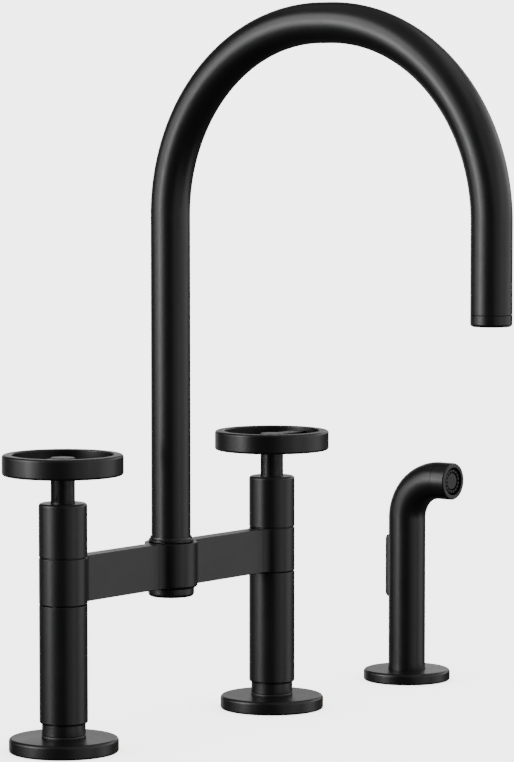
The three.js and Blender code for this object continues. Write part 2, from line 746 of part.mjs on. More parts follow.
// The swivel shank's grooves, from the bottom: O-ring, retaining screw, O-ring.
const lowerRingBottom = swivelBottom + SWIVEL_LAND;
const screwGrooveBottom = lowerRingBottom + O_RING_GROOVE + SWIVEL_LAND;
const upperRingBottom = screwGrooveBottom + O_RING_GROOVE + SWIVEL_LAND;
const swivelScrewZ = screwGrooveBottom + O_RING_GROOVE / 2;
const ringGrooveFloor = HUB_BORE - SEAT - 2 * O_RING_SECTION;

function groove(floor, bottom) {
  return [
    [SWIVEL_RADIUS, bottom],
    [floor, bottom],
    [floor, bottom + O_RING_GROOVE],
    [SWIVEL_RADIUS, bottom + O_RING_GROOVE],
  ];
}

function swivelShank() {
  const shoulder = baseRingBottom + BASE_RING_WEB + SEAT;
  const plugRadius = spoutBore - FIT;
  return turned([
    [SWIVEL_BORE, swivelBottom],
    [SWIVEL_RADIUS, swivelBottom],
    ...groove(ringGrooveFloor - SEAT / 2, lowerRingBottom),
    ...groove(SWIVEL_RADIUS - SCREW_GROOVE_DEPTH, screwGrooveBottom),
    ...groove(ringGrooveFloor - SEAT / 2, upperRingBottom),
    [SWIVEL_RADIUS, shoulder],
    [plugRadius, shoulder],
    [plugRadius, tubeBottom + SWIVEL_IN_TUBE],
    [SWIVEL_BORE, tubeBottom + SWIVEL_IN_TUBE],
  ], FIT_SIDES);
}

function oRing(bottom) {
  const centre = ringGrooveFloor + O_RING_SECTION;
  const section = circle(O_RING_SECTION, 6).map(({ x, y }) =>
    [centre + x, bottom + O_RING_GROOVE / 2 + y]);
  return turned(section, FIT_SIDES);
}

function retainingScrew() {
  const tip = SWIVEL_RADIUS - SCREW_GROOVE_DEPTH + FIT;
  const shoulder = HUB_BORE + FIT;
  const end = HUB_RADIUS - SCREW_SETBACK;
  return turned([
    [0, tip],
    [SPOUT_SCREW_TIP, tip],
    [SPOUT_SCREW_TIP, shoulder],
    [SPOUT_SCREW_RADIUS, shoulder],
    [SPOUT_SCREW_RADIUS, end],
    [0, end],
  ], SMALL_SIDES, "back", [0, 0, swivelScrewZ]);
}

function hubCap() {
  const pocketFloor = capBottom + CAP_FLOOR;
  const plugRadius = HUB_BORE - FIT;
  return turned([
    [0, capBottom],
    ...round(CAP_RADIUS - CAP_ROUND, capBottom + CAP_ROUND, CAP_ROUND, -90, 0, 3),
    [CAP_RADIUS, capTop],
    [plugRadius, capTop],
    [plugRadius, plugTop],
    [CAP_POCKET_RADIUS, plugTop],
    [CAP_POCKET_RADIUS, pocketFloor],
    [0, pocketFloor],
  ], BODY_SIDES);
}

function diverterPoppet() {
  const bottom = plugTop + FIT;
  const baseTop = bottom + POPPET_BASE_THICKNESS;
  const stemTop = baseTop + POPPET_STEM_HEIGHT;
  return turned([
    [0, bottom],
    [POPPET_BASE_RADIUS, bottom],
    [POPPET_BASE_RADIUS, baseTop],
    [POPPET_STEM_RADIUS, baseTop],
    [POPPET_STEM_RADIUS, stemTop],
    [POPPET_HEAD_RADIUS, stemTop],
    [POPPET_HEAD_RADIUS, poppetTop],
    [0, poppetTop],
  ], FIT_SIDES);
}

function glideWasher() {
  const top = washerSeat + GLIDE_WASHER_THICKNESS;
  return turned(tube(SWIVEL_RADIUS + FIT, GLIDE_WASHER_RADIUS, washerSeat, top), FIT_SIDES);
}

add(faucet, "bridge_body", bridgeBody(), matteBlack);
add(faucet, "hub_cap", hubCap(), matteBlack);
add(faucet, "diverter_poppet", diverterPoppet(), nylon);
add(faucet, "glide_washer", glideWasher(), nylon);
add(faucet, "spout_retaining_screw", retainingScrew(), steel);

// ---------------------------------------------------------------- spout

function spoutBaseRing() {
  const bore = SPOUT_RADIUS + FIT;
  const webTop = baseRingBottom + BASE_RING_WEB;
  const bandTop = baseRingBottom + BASE_RING_BAND;
  const lip = bore + BASE_RING_LIP;
  const flare = BASE_RING_RADIUS - lip;
  return turned([
    [SWIVEL_RADIUS + FIT, baseRingBottom],
    [BASE_RING_RADIUS - EDGE_CHAMFER, baseRingBottom],
    [BASE_RING_RADIUS, baseRingBottom + EDGE_CHAMFER],
    [BASE_RING_RADIUS, bandTop],
    [lip + flare * (1 - Math.SQRT1_2), bandTop + BASE_RING_FLARE * (1 - Math.SQRT1_2)],
    [lip, bandTop + BASE_RING_FLARE],
    [bore, bandTop + BASE_RING_FLARE],
    [bore, webTop],
    [SWIVEL_RADIUS + FIT, webTop],
  ], BODY_SIDES);
}

function spoutTube() {
  const up = (y, z) => new THREE.Vector3(0, y, z);
  const quarter = Math.PI / 2;
  const crownFront = -ARCH_RADIUS - ARCH_FLAT;
  const crownZ = archZ + ARCH_RADIUS;
  return pipe([
    straight(up(0, tubeBottom), up(0, archZ)),
    bend(-ARCH_RADIUS, archZ, ARCH_RADIUS, 0, quarter, BEND_STEPS),
    straight(up(-ARCH_RADIUS, crownZ), up(crownFront, crownZ)),
    bend(crownFront, archZ, ARCH_RADIUS, quarter, Math.PI, BEND_STEPS),
    straight(up(-spoutReach, archZ), up(-spoutReach, tubeEnd)),
  ], SPOUT_RADIUS, spoutBore, [0, 0, 0]);
}

function aeratorHousing() {
  const edge = AERATOR_RING_ROUND;
  const spigot = spoutBore - FIT;
  const throat = spigotEnd - AERATOR_THROAT_HEIGHT;
  return turned([
    [AERATOR_BORE, aeratorBottom],
    ...round(SPOUT_RADIUS - edge, aeratorBottom + edge, edge, -90, 0),
    [SPOUT_RADIUS, aeratorTop],
    [spigot, aeratorTop],
    [spigot, spigotEnd],
    [AERATOR_THROAT, spigotEnd],
    [AERATOR_THROAT, throat],
    [AERATOR_BORE, throat],
  ], FIT_SIDES, "up", [0, -spoutReach, 0]);
}

function aeratorInsert() {
  const radius = AERATOR_BORE - FIT;
  const bottom = aeratorBottom + AERATOR_RECESS;
  const top = spigotEnd - AERATOR_THROAT_HEIGHT - FIT;
  const cup = radius - AERATOR_CUP_WALL;
  const body = turned([
    [0, bottom],
    [radius, bottom],
    [radius, top],
    [cup, top],
    [cup, bottom + AERATOR_FLOOR],
    [0, bottom + AERATOR_FLOOR],
  ], FIT_SIDES, "up", [0, -spoutReach, 0]);
  const low = bottom - CUT_OVERRUN;
  const high = bottom + AERATOR_FLOOR + CUT_OVERRUN;
  const holes = Array.from({ length: AERATOR_HOLES }, (_, i) => {
    const angle = (2 * Math.PI * i) / AERATOR_HOLES;
    const x = AERATOR_HOLE_CIRCLE * Math.cos(angle);
    const y = AERATOR_HOLE_CIRCLE * Math.sin(angle) - spoutReach;
    return rod(AERATOR_HOLE_RADIUS, low, high, 6, "up", [x, y, 0]);
  });
  return cut(body, ...holes);
}

function aeratorWasher() {
  const bottom = spigotEnd + SEAT;
  const ring = tube(AERATOR_WASHER_BORE, spoutBore - FIT, bottom, bottom + AERATOR_WASHER_THICKNESS);
  return turned(ring, FIT_SIDES, "up", [0, -spoutReach, 0]);
}

add(faucet, "spout_swivel_shank", swivelShank(), brass);
add(faucet, "spout_o_ring_lower", oRing(lowerRingBottom), rubber);
add(faucet, "spout_o_ring_upper", oRing(upperRingBottom), rubber);
add(faucet, "spout_base_ring", spoutBaseRing(), matteBlack);
add(faucet, "spout_tube", spoutTube(), matteBlack);
add(faucet, "aerator_housing", aeratorHousing(), matteBlack);
add(faucet, "aerator_insert", aeratorInsert(), nylon);
add(faucet, "aerator_washer", aeratorWasher(), rubber);

// ---------------------------------------------------------------- side spray

const spray = new THREE.Group();
spray.position.x = SPRAY_CENTRE_X;
faucet.add(spray);

function sprayEscutcheon() {
  const webBottom = SPRAY_ESCUTCHEON_HEIGHT - SPRAY_ESCUTCHEON_WEB;
  return turned([
    [linerBore, webBottom],
    [HOLDER_RADIUS + FIT, webBottom],
    [HOLDER_RADIUS + FIT, GASKET_THICKNESS + FIT],
    ...escutcheonRim(SPRAY_ESCUTCHEON_RADIUS, SPRAY_ESCUTCHEON_HEIGHT),
    [linerBore, SPRAY_ESCUTCHEON_HEIGHT],
  ], RIM_SIDES);
}

function sprayHolder() {
  const bore = HOLDER_RADIUS - HOLDER_WALL;
  const floor = linerBottom - SEAT;
  return turned([
    [HOLDER_HOSE_BORE, -HOLDER_BELOW_DECK],
    [HOLDER_RADIUS, -HOLDER_BELOW_DECK],
    [HOLDER_RADIUS, holderTop],
    [bore, holderTop],
    [bore, floor],
    [HOLDER_HOSE_BORE, floor],
  ], FIT_SIDES);
}

function holderLiner() {
  return turned([
    [LINER_LIP_BORE, linerBottom],
    [linerOuter, linerBottom],
    [linerOuter, holderTop],
    [linerBore, holderTop],
    [linerBore, lipTop],
    [LINER_LIP_BORE, lipTop],
  ], FIT_SIDES);
}

function triggerWindow() {
  const half = TRIGGER_WIDTH / 2 + TRIGGER_GAP;
  return block(
    [-half, TRIGGER_INNER / 2, TRIGGER_BOTTOM - TRIGGER_GAP],
    [half, SPRAY_RADIUS + CUT_OVERRUN, TRIGGER_TOP + TRIGGER_GAP],
  );
}

function sprayBody() {
  const up = (z) => new THREE.Vector3(0, 0, z);
  const shell = pipe([
    straight(up(-SPRAY_TAIL), up(SPRAY_STEM)),
    bend(-SPRAY_BEND, SPRAY_STEM, SPRAY_BEND, 0, Math.PI / 2, SPRAY_BEND_STEPS),
  ], SPRAY_RADIUS, sprayBore, [0, 0, 0]);
  const hole = PIN_HALF_LENGTH + PIN_FIT;
  const pinHole = crossRod(PIN_RADIUS + PIN_FIT, -hole, hole, SMALL_SIDES, [0, PIN_OUT, pinZ]);
  return cut(shell, triggerWindow(), pinHole);
}

function sprayHeadRing() {
  const edge = HEAD_ROUND;
  const spigot = sprayBore - FIT;
  return turned([
    [HEAD_WATERWAY, headBack - HEAD_SPIGOT],
    [spigot, headBack - HEAD_SPIGOT],
    [spigot, headBack],
    [SPRAY_RADIUS, headBack],
    ...round(SPRAY_RADIUS - edge, headFront - edge, edge, 0, 90),
    [HEAD_BORE, headFront],
    [HEAD_BORE, headFloor],
    [HEAD_WATERWAY, headFloor],
  ], FIT_SIDES, "front", [0, 0, headZ]);
}

function sprayNozzle() {
  const face = headFront - NOZZLE_RECESS;
  const back = headFloor + SEAT;
  const flange = HEAD_BORE - FIT;
  const grooveFloor = face - NOZZLE_GROOVE_DEPTH;
  return turned([
    [0, back],
    [flange, back],
    [flange, back + NOZZLE_FLANGE_THICKNESS],
    [NOZZLE_RADIUS, back + NOZZLE_FLANGE_THICKNESS],
    [NOZZLE_RADIUS, face],
    [NOZZLE_GROOVE_OUTER, face],
    [NOZZLE_GROOVE_OUTER, grooveFloor],
    [NOZZLE_GROOVE_INNER, grooveFloor],
    [NOZZLE_GROOVE_INNER, face],
    [0, face],
  ], FIT_SIDES, "front", [0, 0, headZ]);
}

function sprayInlet() {
  const shoulder = -SPRAY_TAIL + FIT;
  const end = shoulder - INLET_LENGTH;
  return turned([
    [INLET_BORE, end],
    [INLET_RADIUS, end],
    [INLET_RADIUS, shoulder],
    [sprayBore - FIT, shoulder],
    [sprayBore - FIT, shoulder + INLET_PLUG_HEIGHT],
    [INLET_BORE, shoulder + INLET_PLUG_HEIGHT],
  ], FIT_SIDES);
}

// The paddle, drawn from the side and as wide as the window in the handset's back.
function sprayTrigger() {
  const outer = SPRAY_RADIUS + TRIGGER_PROUD;
  const r = TRIGGER_ROUND;
  const corners = [
    ...round(outer - r, TRIGGER_TOP - r, r, 0, 90, 3),
    [TRIGGER_INNER, TRIGGER_TOP],
    [TRIGGER_INNER, TRIGGER_BOTTOM],
    ...round(outer - r, TRIGGER_BOTTOM + r, r, -90, 0, 3),
  ];
  const shape = new THREE.Shape(corners.map(([y, z]) => new THREE.Vector2(y, z)));
  const depth = TRIGGER_WIDTH;
  const geometry = new THREE.ExtrudeGeometry(shape, { depth, bevelEnabled: false });
  // the drawing's x, y and depth become Y, Z and X
  geometry.applyMatrix4(new THREE.Matrix4().makeBasis(
    new THREE.Vector3(0, 1, 0), new THREE.Vector3(0, 0, 1), new THREE.Vector3(1, 0, 0)));
  geometry.translate(-depth / 2, 0, 0);
  const hole = crossRod(PIN_RADIUS + PIN_FIT, -depth, depth, SMALL_SIDES, [0, PIN_OUT, pinZ]);
  return cut(solid(geometry), hole);
}

function valveSeat() {
  const low = VALVE_CENTRE_Z - VALVE_HALF_HEIGHT;
  const high = VALVE_CENTRE_Z + VALVE_HALF_HEIGHT;
  const radius = sprayBore - FIT;
  const barrel = rod(radius, low, high, FIT_SIDES);
  const flat = block([-radius, VALVE_FLAT, low - CUT_OVERRUN],
    [radius, radius + CUT_OVERRUN, high + CUT_OVERRUN]);
  const centre = [0, 0, VALVE_CENTRE_Z];
  const pocketFront = PLUNGER_SHANK_END + FIT;
  const bore = rod(PLUNGER_RADIUS + FIT, pocketFront - CUT_OVERRUN, VALVE_FLAT + CUT_OVERRUN,
    SMALL_SIDES, "back", centre);
  const pocket = rod(PLUNGER_HEAD_RADIUS + FIT, springBack - FIT, pocketFront, SMALL_SIDES,
    "back", centre);
  const waterways = [-VALVE_WATERWAY_OFFSET, VALVE_WATERWAY_OFFSET].map((x) =>
    rod(VALVE_WATERWAY_RADIUS, low - CUT_OVERRUN, high + CUT_OVERRUN, SMALL_SIDES, "up", [x, 0, 0]));
  return cut(barrel, flat, bore, pocket, ...waterways);
}

function valvePlunger() {
  return turned([
    [0, plungerBack],
    [PLUNGER_HEAD_RADIUS, plungerBack],
    [PLUNGER_HEAD_RADIUS, PLUNGER_SHANK_END],
    [PLUNGER_RADIUS, PLUNGER_SHANK_END],
    [PLUNGER_RADIUS, plungerTip],
    [0, plungerTip],
  ], SMALL_SIDES, "back", [0, 0, VALVE_CENTRE_Z]);
}

function plungerSpring() {
  const ring = tube(SPRING_BORE, PLUNGER_HEAD_RADIUS, springBack, springBack + SPRING_LENGTH);
  return turned(ring, SMALL_SIDES, "back", [0, 0, VALVE_CENTRE_Z]);
}

const sprayGasketRadius = SPRAY_ESCUTCHEON_RADIUS - ESCUTCHEON_RIM - FIT;
const sprayGasket = tube(SPRAY_GASKET_BORE, sprayGasketRadius, 0, GASKET_THICKNESS);
const triggerPin = crossRod(PIN_RADIUS, -PIN_HALF_LENGTH, PIN_HALF_LENGTH, SMALL_SIDES,
  [0, PIN_OUT, pinZ]);

add(spray, "spray_gasket", turned(sprayGasket, FIT_SIDES), rubber);
add(spray, "spray_escutcheon", sprayEscutcheon(), matteBlack);
add(spray, "spray_holder", sprayHolder(), brass);
add(spray, "spray_liner", holderLiner(), nylon);
add(spray, "spray_deck_washer", deckWasher(HOLDER_RADIUS, SPRAY_WASHER_RADIUS), steel);
add(spray, "spray_lock_nut", lockNut(HOLDER_RADIUS, SPRAY_NUT_CORNER), brass);
add(spray, "spray_body", sprayBody(), matteBlack);
add(spray, "spray_head_ring", sprayHeadRing(), matteBlack);
add(spray, "spray_nozzle", sprayNozzle(), nylon);
add(spray, "spray_inlet", sprayInlet(), brass);
add(spray, "spray_trigger", sprayTrigger(), matteBlack);
add(spray, "trigger_pin", triggerPin, steel);
add(spray, "valve_seat", valveSeat(), brass);
add(spray, "valve_plunger", valvePlunger(), nylon);
add(spray, "plunger_spring", plungerSpring(), steel);

export default faucet;
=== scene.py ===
"""Looks of the bridge kitchen faucet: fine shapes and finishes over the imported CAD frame.

Sizes are in millimetres, and meshes are made in metres, in the CAD frame.
"""

import json
import math

import bmesh
import bpy
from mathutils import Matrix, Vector

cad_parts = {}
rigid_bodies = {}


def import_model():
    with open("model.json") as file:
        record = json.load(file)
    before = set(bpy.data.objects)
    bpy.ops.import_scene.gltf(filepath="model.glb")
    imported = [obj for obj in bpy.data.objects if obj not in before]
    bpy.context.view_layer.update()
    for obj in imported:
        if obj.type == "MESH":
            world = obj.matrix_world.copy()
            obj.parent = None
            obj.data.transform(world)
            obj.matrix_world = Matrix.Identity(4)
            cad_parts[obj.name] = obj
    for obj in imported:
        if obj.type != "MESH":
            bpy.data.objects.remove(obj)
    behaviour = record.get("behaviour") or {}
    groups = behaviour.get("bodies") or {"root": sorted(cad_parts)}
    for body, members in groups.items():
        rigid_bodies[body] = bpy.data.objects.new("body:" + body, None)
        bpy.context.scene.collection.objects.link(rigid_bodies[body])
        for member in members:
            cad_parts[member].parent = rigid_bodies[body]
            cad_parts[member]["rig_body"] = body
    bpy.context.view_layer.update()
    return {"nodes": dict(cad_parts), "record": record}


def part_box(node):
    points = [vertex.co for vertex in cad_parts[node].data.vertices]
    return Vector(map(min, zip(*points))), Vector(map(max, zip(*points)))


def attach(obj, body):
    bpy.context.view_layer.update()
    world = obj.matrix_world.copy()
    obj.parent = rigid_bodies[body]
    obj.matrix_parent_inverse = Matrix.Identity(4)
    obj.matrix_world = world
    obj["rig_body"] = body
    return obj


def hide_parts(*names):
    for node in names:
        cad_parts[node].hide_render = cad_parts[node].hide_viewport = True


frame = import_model()

MM = 0.001

# how fine the meshes are: steps round a piece and round a tube's end, the step of a rounded
# corner, the angle from which an edge is sharp, and how near two points are one, in mm
TURN_STEPS = 128
RIM_STEPS = 192
ROD_STEPS = 48
SIDE_ROD_STEPS = 32
HOLE_STEPS = 16
END_STEPS = 4
CORNER_STEP = math.radians(11.25)
CORNER_STEPS = 3
SHARP_ANGLE = math.radians(32)
SAME_POINT = 1e-4


# ------------------------------------------------------------------ sizes, in mm

def span(node, axis="z"):
    """Where a CAD node begins and ends along an axis, in mm."""
    low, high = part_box(node)
    place = "xyz".index(axis)
    return low[place] / MM, high[place] / MM


def middle(node, axis="x"):
    """The middle of a CAD node along an axis."""
    return sum(span(node, axis)) / 2


def radius(node, axis="x"):
    """Half the width of a round CAD node."""
    low, high = span(node, axis)
    return (high - low) / 2


# clearances, as in the CAD
SEAM = 0.35
SEAT = 0.15
FIT = 0.3
OVERRUN = 1.0

# a joint's shadow line: how much wider than its gap and how deep it is, and the hair of air
# between two parts that meet in it
SHADOW_LINE = 0.3
SEAM_DEPTH = 1.5
HAIR = 0.02

# softened edges: a turned seam, a deburred edge, a sheet's or moulded part's edge, and the edge
# of two parts that meet with no seam to be seen
SEAM_EDGE = 0.35
FINE_EDGE = 0.2
SOFT_EDGE = 0.3
CLOSED_EDGE = 0.05

# threads: their depth, and for each its pitch, its plain ends below and above the ridge, and how
# far it fades out into the full diameter
THREAD_DEPTH = 0.7
SHANK_PITCH, SHANK_ENDS, SHANK_FADE = 1.814, (1.5, 1.5), 1.0
HOLDER_PITCH, HOLDER_ENDS, HOLDER_FADE = 1.5, (1.2, 1.0), 0.7
INLET_PITCH, INLET_ENDS, INLET_FADE = 1.337, (1.1, 0.7), 0.5
SHANK_THREAD_HIGH = -8.0
HOLDER_THREAD_HIGH = -6.0

# screws and nuts: the corner of a key hole, as a share of the screw's radius, and the flat face
# and turned-off depth of a nut, as shares of its corner's radius
KEY_HOLE = 0.58
NUT_FACE = 0.9
NUT_DEPTH = 0.06
SCREW_TIP = 0.9

# escutcheons, seals and necks
SHANK = radius("supply_shank_right")
SHANK_HOLE = SHANK + FIT
SHANK_BORE = 6.5
SHANK_LOW, SHANK_HIGH = span("supply_shank_right")
ESCUTCHEON_RIM = 2.6
ESCUTCHEON_FOOT = 1.4
ESCUTCHEON_EDGE = 2.0
GASKET_HIGH = span("deck_gasket_right")[1]
GASKET_BORE = 14.0
SPRAY_GASKET_BORE = 18.0
NECK = radius("neck_ring_right")
SEAL_OVER = 0.15
SEAL_SHOULDER = 0.85

# posts and sleeves
POST_X = middle("lower_post_right")
POST = radius("lower_post_right")
POST_BORE = 6.0
POST_LOW, SPIGOT_HIGH = span("lower_post_right")
POST_FOOT = 1.0
SPIGOT = 11.65
SLEEVE_LOW, SLEEVE_HIGH = span("upper_sleeve_right")
SLEEVE_BORE = 12.5
SLEEVE_MOUTH = 7.1
SLEEVE_ROUND = 1.7
SLEEVE_WEB = 1.5

# handwheels
WHEEL = radius("handwheel_right")
WHEEL_SPIGOT_LOW, WHEEL_HIGH = span("handwheel_right")
WHEEL_WALL = 6.0
WHEEL_LOW = WHEEL_HIGH - 12.4
WHEEL_ROUND = 1.6
WHEEL_INNER_ROUND = 0.8
WHEEL_HUB_HIGH = WHEEL_HIGH - 1.9
STEM = 7.3
STEM_SPIGOT = 6.8
SPOKE_HALF = 4.2
SPOKE_HIGH = WHEEL_HUB_HIGH - 0.4
SPOKE_LOW = SPOKE_HIGH - 7.8
SPINDLE = radius("spindle_right")
SPINDLE_HIGH = span("spindle_right")[1]

# bridge and the cap under its hub
HUB = span("bridge_body", "y")[1]
HUB_LOW, BRIDGE_HIGH = span("bridge_body")
HUB_BORE = 9.3
HUB_FOOT_ROUND = 1.6
BRIDGE_LOW = HUB_LOW + 0.3
BRIDGE_EDGE = 0.4
BAR_HALF = 5.25
FILLET = 9.0
CHANNEL = 3.2
CHANNEL_Z = BRIDGE_LOW + 10.9
CARTRIDGE_BORE = 10.4
WASHER_POCKET = radius("glide_washer") + FIT
WASHER_POCKET_LOW = span("glide_washer")[0] - SEAT
CAP = radius("hub_cap")
CAP_LOW, CAP_PLUG_HIGH = span("hub_cap")
CAP_ROUND = 2.2
CAP_POCKET = 6.0
CAP_FLOOR = 3.0

# spout
TUBE, TUBE_BORE = 12.2, 10.4
TUBE_LOW = span("spout_tube")[0]
TIP_Y = middle("aerator_housing", "y")
ARCH_FLAT = 7.5
ARCH = (-TIP_Y - ARCH_FLAT) / 2
ARCH_Z = TUBE_LOW + 201.35
BASE_RING = radius("spout_base_ring")
BASE_RING_LOW, BASE_RING_HIGH = span("spout_base_ring")
BASE_RING_WEB = 0.7
BASE_RING_BAND = 1.35
BASE_RING_LIP = TUBE + FIT + 0.45
AERATOR_LOW, AERATOR_SPIGOT_HIGH = span("aerator_housing")
AERATOR_HIGH = AERATOR_LOW + 6.7
AERATOR_ROUND = 1.8
AERATOR_SEAM = 0.2
AERATOR_BORE = 9.4
AERATOR_THROAT = 8.0
AERATOR_THROAT_LOW = AERATOR_SPIGOT_HIGH - 4.6
AERATOR_WALL = 2.1
AERATOR_FLOOR = 2.3
AERATOR_MIDDLE_HOLE = 0.8
AERATOR_HOLES = ((6, 4.2, 1.0), (12, 6.9, 0.5))  # each ring's count, circle and hole

# side spray: its socket in the deck
SPRAY_X = middle("spray_escutcheon")
SPRAY_ESCUTCHEON_HIGH = span("spray_escutcheon")[1]
SPRAY_ESCUTCHEON_WEB = 3.6
LINER_BORE = 12.7
HOLDER = radius("spray_holder")
HOLDER_BORE = HOLDER - 1.7
HOLDER_LOW, HOLDER_HIGH = span("spray_holder")
HOLDER_FLOOR = span("spray_liner")[0] - SEAT
HOLDER_HOSE_BORE = 10.5

# side spray: the handset
SPRAY = radius("spray_body")
SPRAY_BORE = SPRAY - 2.2
SPRAY_LOW = span("spray_body")[0]
HEAD_Z = middle("spray_nozzle", "z")
BEND = 26.9
SPRAY_STEM = HEAD_Z - BEND
HEAD_BACK = -span("spray_head_ring", "y")[1]
HEAD_FRONT = -span("spray_head_ring", "y")[0]
HEAD_SPIGOT = 1.8
HEAD_WATERWAY = 6.0
HEAD_BORE = 9.2
HEAD_ROUND = 1.0
NOZZLE_BACK = -span("spray_nozzle", "y")[1]
NOZZLE_FACE = -span("spray_nozzle", "y")[0]
NOZZLE_FLANGE = 1.6
NOZZLE = 7.9
NOZZLE_RING_INNER = 6.15
NOZZLE_BUTTON = 5.45
NOZZLE_GROOVE = 2.2
NOZZLE_EDGE = 0.4
JETS = 16
JET = 0.62
JET_CIRCLE = 6.95
INLET_LOW, INLET_HIGH = span("spray_inlet")
INLET_SHOULDER = SPRAY_LOW + FIT
INLET_COLLAR = 1.5
INLET = 6.6
INLET_BORE = 4.0
TRIGGER_IN, TRIGGER_OUT = span("spray_trigger", "y")
TRIGGER_LOW, TRIGGER_HIGH = span("spray_trigger")
TRIGGER_HALF = radius("spray_trigger")
TRIGGER_GAP = 0.4
TRIGGER_ROUND = 3.2
TRIGGER_INNER_ROUND = 2.2
TRIGGER_EDGE = 1.9
PIN_Y, PIN_Z = middle("trigger_pin", "y"), middle("trigger_pin", "z")
PIN_HOLE = 1.1
PIN_REACH = 6.0


# ------------------------------------------------------------------ materials

def srgb(hex_colour):
    """A linear RGBA colour from an sRGB hex value such as "1b1b1c"."""
    values = [int(hex_colour[i:i + 2], 16) / 255 for i in (0, 2, 4)]
    linear = [v / 12.92 if v <= 0.04045 else ((v + 0.055) / 1.055) ** 2.4 for v in values]
    return (*linear, 1.0)


def add_node(tree, kind, settings=None, **links):
    """A node with its settings: an input's name and value, or an attribute's. links join its
    inputs to other nodes' outputs."""
    node = tree.nodes.new(kind)
    for key, value in (settings or {}).items():
        if key in node.inputs:
            node.inputs[key].default_value = value
        else:
            setattr(node, key, value)
    for key, source in links.items():
        tree.links.new(source, node.inputs[key.replace("_", " ")])
    return node


def new_material(name, colour, roughness, metallic=0.0, **shader_values):
    """A material with its tree, its shader and the place on the piece that patterns start from."""
    material = bpy.data.materials.new(name)
    material.use_nodes = True
    tree = material.node_tree
    shader = tree.nodes["Principled BSDF"]
    shader.inputs["Base Color"].default_value = srgb(colour)
    shader.inputs["Roughness"].default_value = roughness
    shader.inputs["Metallic"].default_value = metallic
    for key, value in shader_values.items():
        shader.inputs[key.replace("_", " ")].default_value = value
    place = add_node(tree, "ShaderNodeTexCoord").outputs["Object"]
    return material, tree, shader, place


def grain(tree, place, size_mm):
    """Noise whose grains are about size_mm across."""
    return add_node(tree, "ShaderNodeTexNoise", {"Scale": 1 / (size_mm * MM), "Detail": 2.0},
                    Vector=place)


def vary_roughness(tree, shader, noise, low, high):
    """Roughness that follows a noise, whose values nearly all lie between 0.3 and 0.7."""
    spread = add_node(tree, "ShaderNodeMapRange",
                      {"From Min": 0.3, "From Max": 0.7, "To Min": low, "To Max": high},
                      Value=noise)
    tree.links.new(spread.outputs["Result"], shader.inputs["Roughness"])


def bump(tree, shader, source, height_mm, strength):
    """Relief too fine to be a shape."""
    node = add_node(tree, "ShaderNodeBump", {"Strength": strength, "Distance": height_mm * MM},
                    Height=source)
    tree.links.new(node.outputs["Normal"], shader.inputs["Normal"])


def matte_black_coating():
    """Black powder coat on cast and turned brass, baked: a fine orange peel that softens every
    highlight into a broad grey band, and slightly uneven gloss."""
    material, tree, shader, place = new_material(
        "matte_black_powder_coat", "0b0b0c", 0.35, IOR=1.5)
    peel = grain(tree, place, 0.9)  # real orange peel is about 0.5 mm; coarser, so it shows
    patches = grain(tree, place, 14)
    vary_roughness(tree, shader, patches.outputs["Fac"], 0.33, 0.37)
    bump(tree, shader, peel.outputs["Fac"], 0.02, 0.25)
    return material


def epdm_rubber():
    """Moulded EPDM rubber, lightly greased: black with a satin sheen."""
    material, tree, shader, place = new_material("moulded_epdm_rubber", "131313", 0.45, IOR=1.52)
    skin = grain(tree, place, 0.8)
    vary_roughness(tree, shader, skin.outputs["Fac"], 0.4, 0.5)
    bump(tree, shader, skin.outputs["Fac"], 0.02, 0.3)
    return material


def black_acetal():
    """Moulded black acetal: a smooth, slightly waxy satin."""
    material, tree, shader, place = new_material("moulded_black_acetal", "161617", 0.42, IOR=1.48)
    skin = grain(tree, place, 1.2)
    vary_roughness(tree, shader, skin.outputs["Fac"], 0.38, 0.46)
    bump(tree, shader, skin.outputs["Fac"], 0.01, 0.2)
    return material


WAVE_PHASE = 20  # how fast a wave texture's phase runs along its scaled place


def turned_metal(name, colour, roughness, mark_mm):
    """A turned metal: tool marks round the axis, mark_mm apart, which stretch its highlights.
    Real marks are about 0.2 mm apart; these are coarser, so that they show."""
    material, tree, shader, place = new_material(name, colour, roughness, 1.0)
    marks = add_node(tree, "ShaderNodeTexWave",
                     {"wave_type": "BANDS", "bands_direction": "Z",
                      "Scale": 2 * math.pi / (WAVE_PHASE * mark_mm * MM),
                      "Distortion": 1.5, "Detail": 2.0},
                     Vector=place)
    smudge = grain(tree, place, 6)
    vary_roughness(tree, shader, smudge.outputs["Fac"], roughness - 0.05, roughness + 0.08)
    bump(tree, shader, marks.outputs["Fac"], 0.02, 0.3)
    return material


def alumina_ceramic():
    """Lapped alumina: dense, off-white and nearly smooth."""
    material, tree, shader, place = new_material("lapped_alumina", "e9e4d8", 0.25, IOR=1.76)
    crystals = grain(tree, place, 0.4)
    vary_roughness(tree, shader, crystals.outputs["Fac"], 0.2, 0.3)
    bump(tree, shader, crystals.outputs["Fac"], 0.005, 0.2)
    return material


COATING = matte_black_coating()
RUBBER = epdm_rubber()
ACETAL = black_acetal()
BRASS = turned_metal("turned_brass", "b8975a", 0.32, 3.77)
ZINC_STEEL = turned_metal("zinc_plated_steel", "a3a6a8", 0.36, 5.03)
CERAMIC = alumina_ceramic()
FINISHES = {
    "matte_black_metal": COATING, "rubber": RUBBER, "nylon": ACETAL,
    "brass": BRASS, "zinc_steel": ZINC_STEEL, "ceramic": CERAMIC,
}


# ------------------------------------------------------------------ making meshes

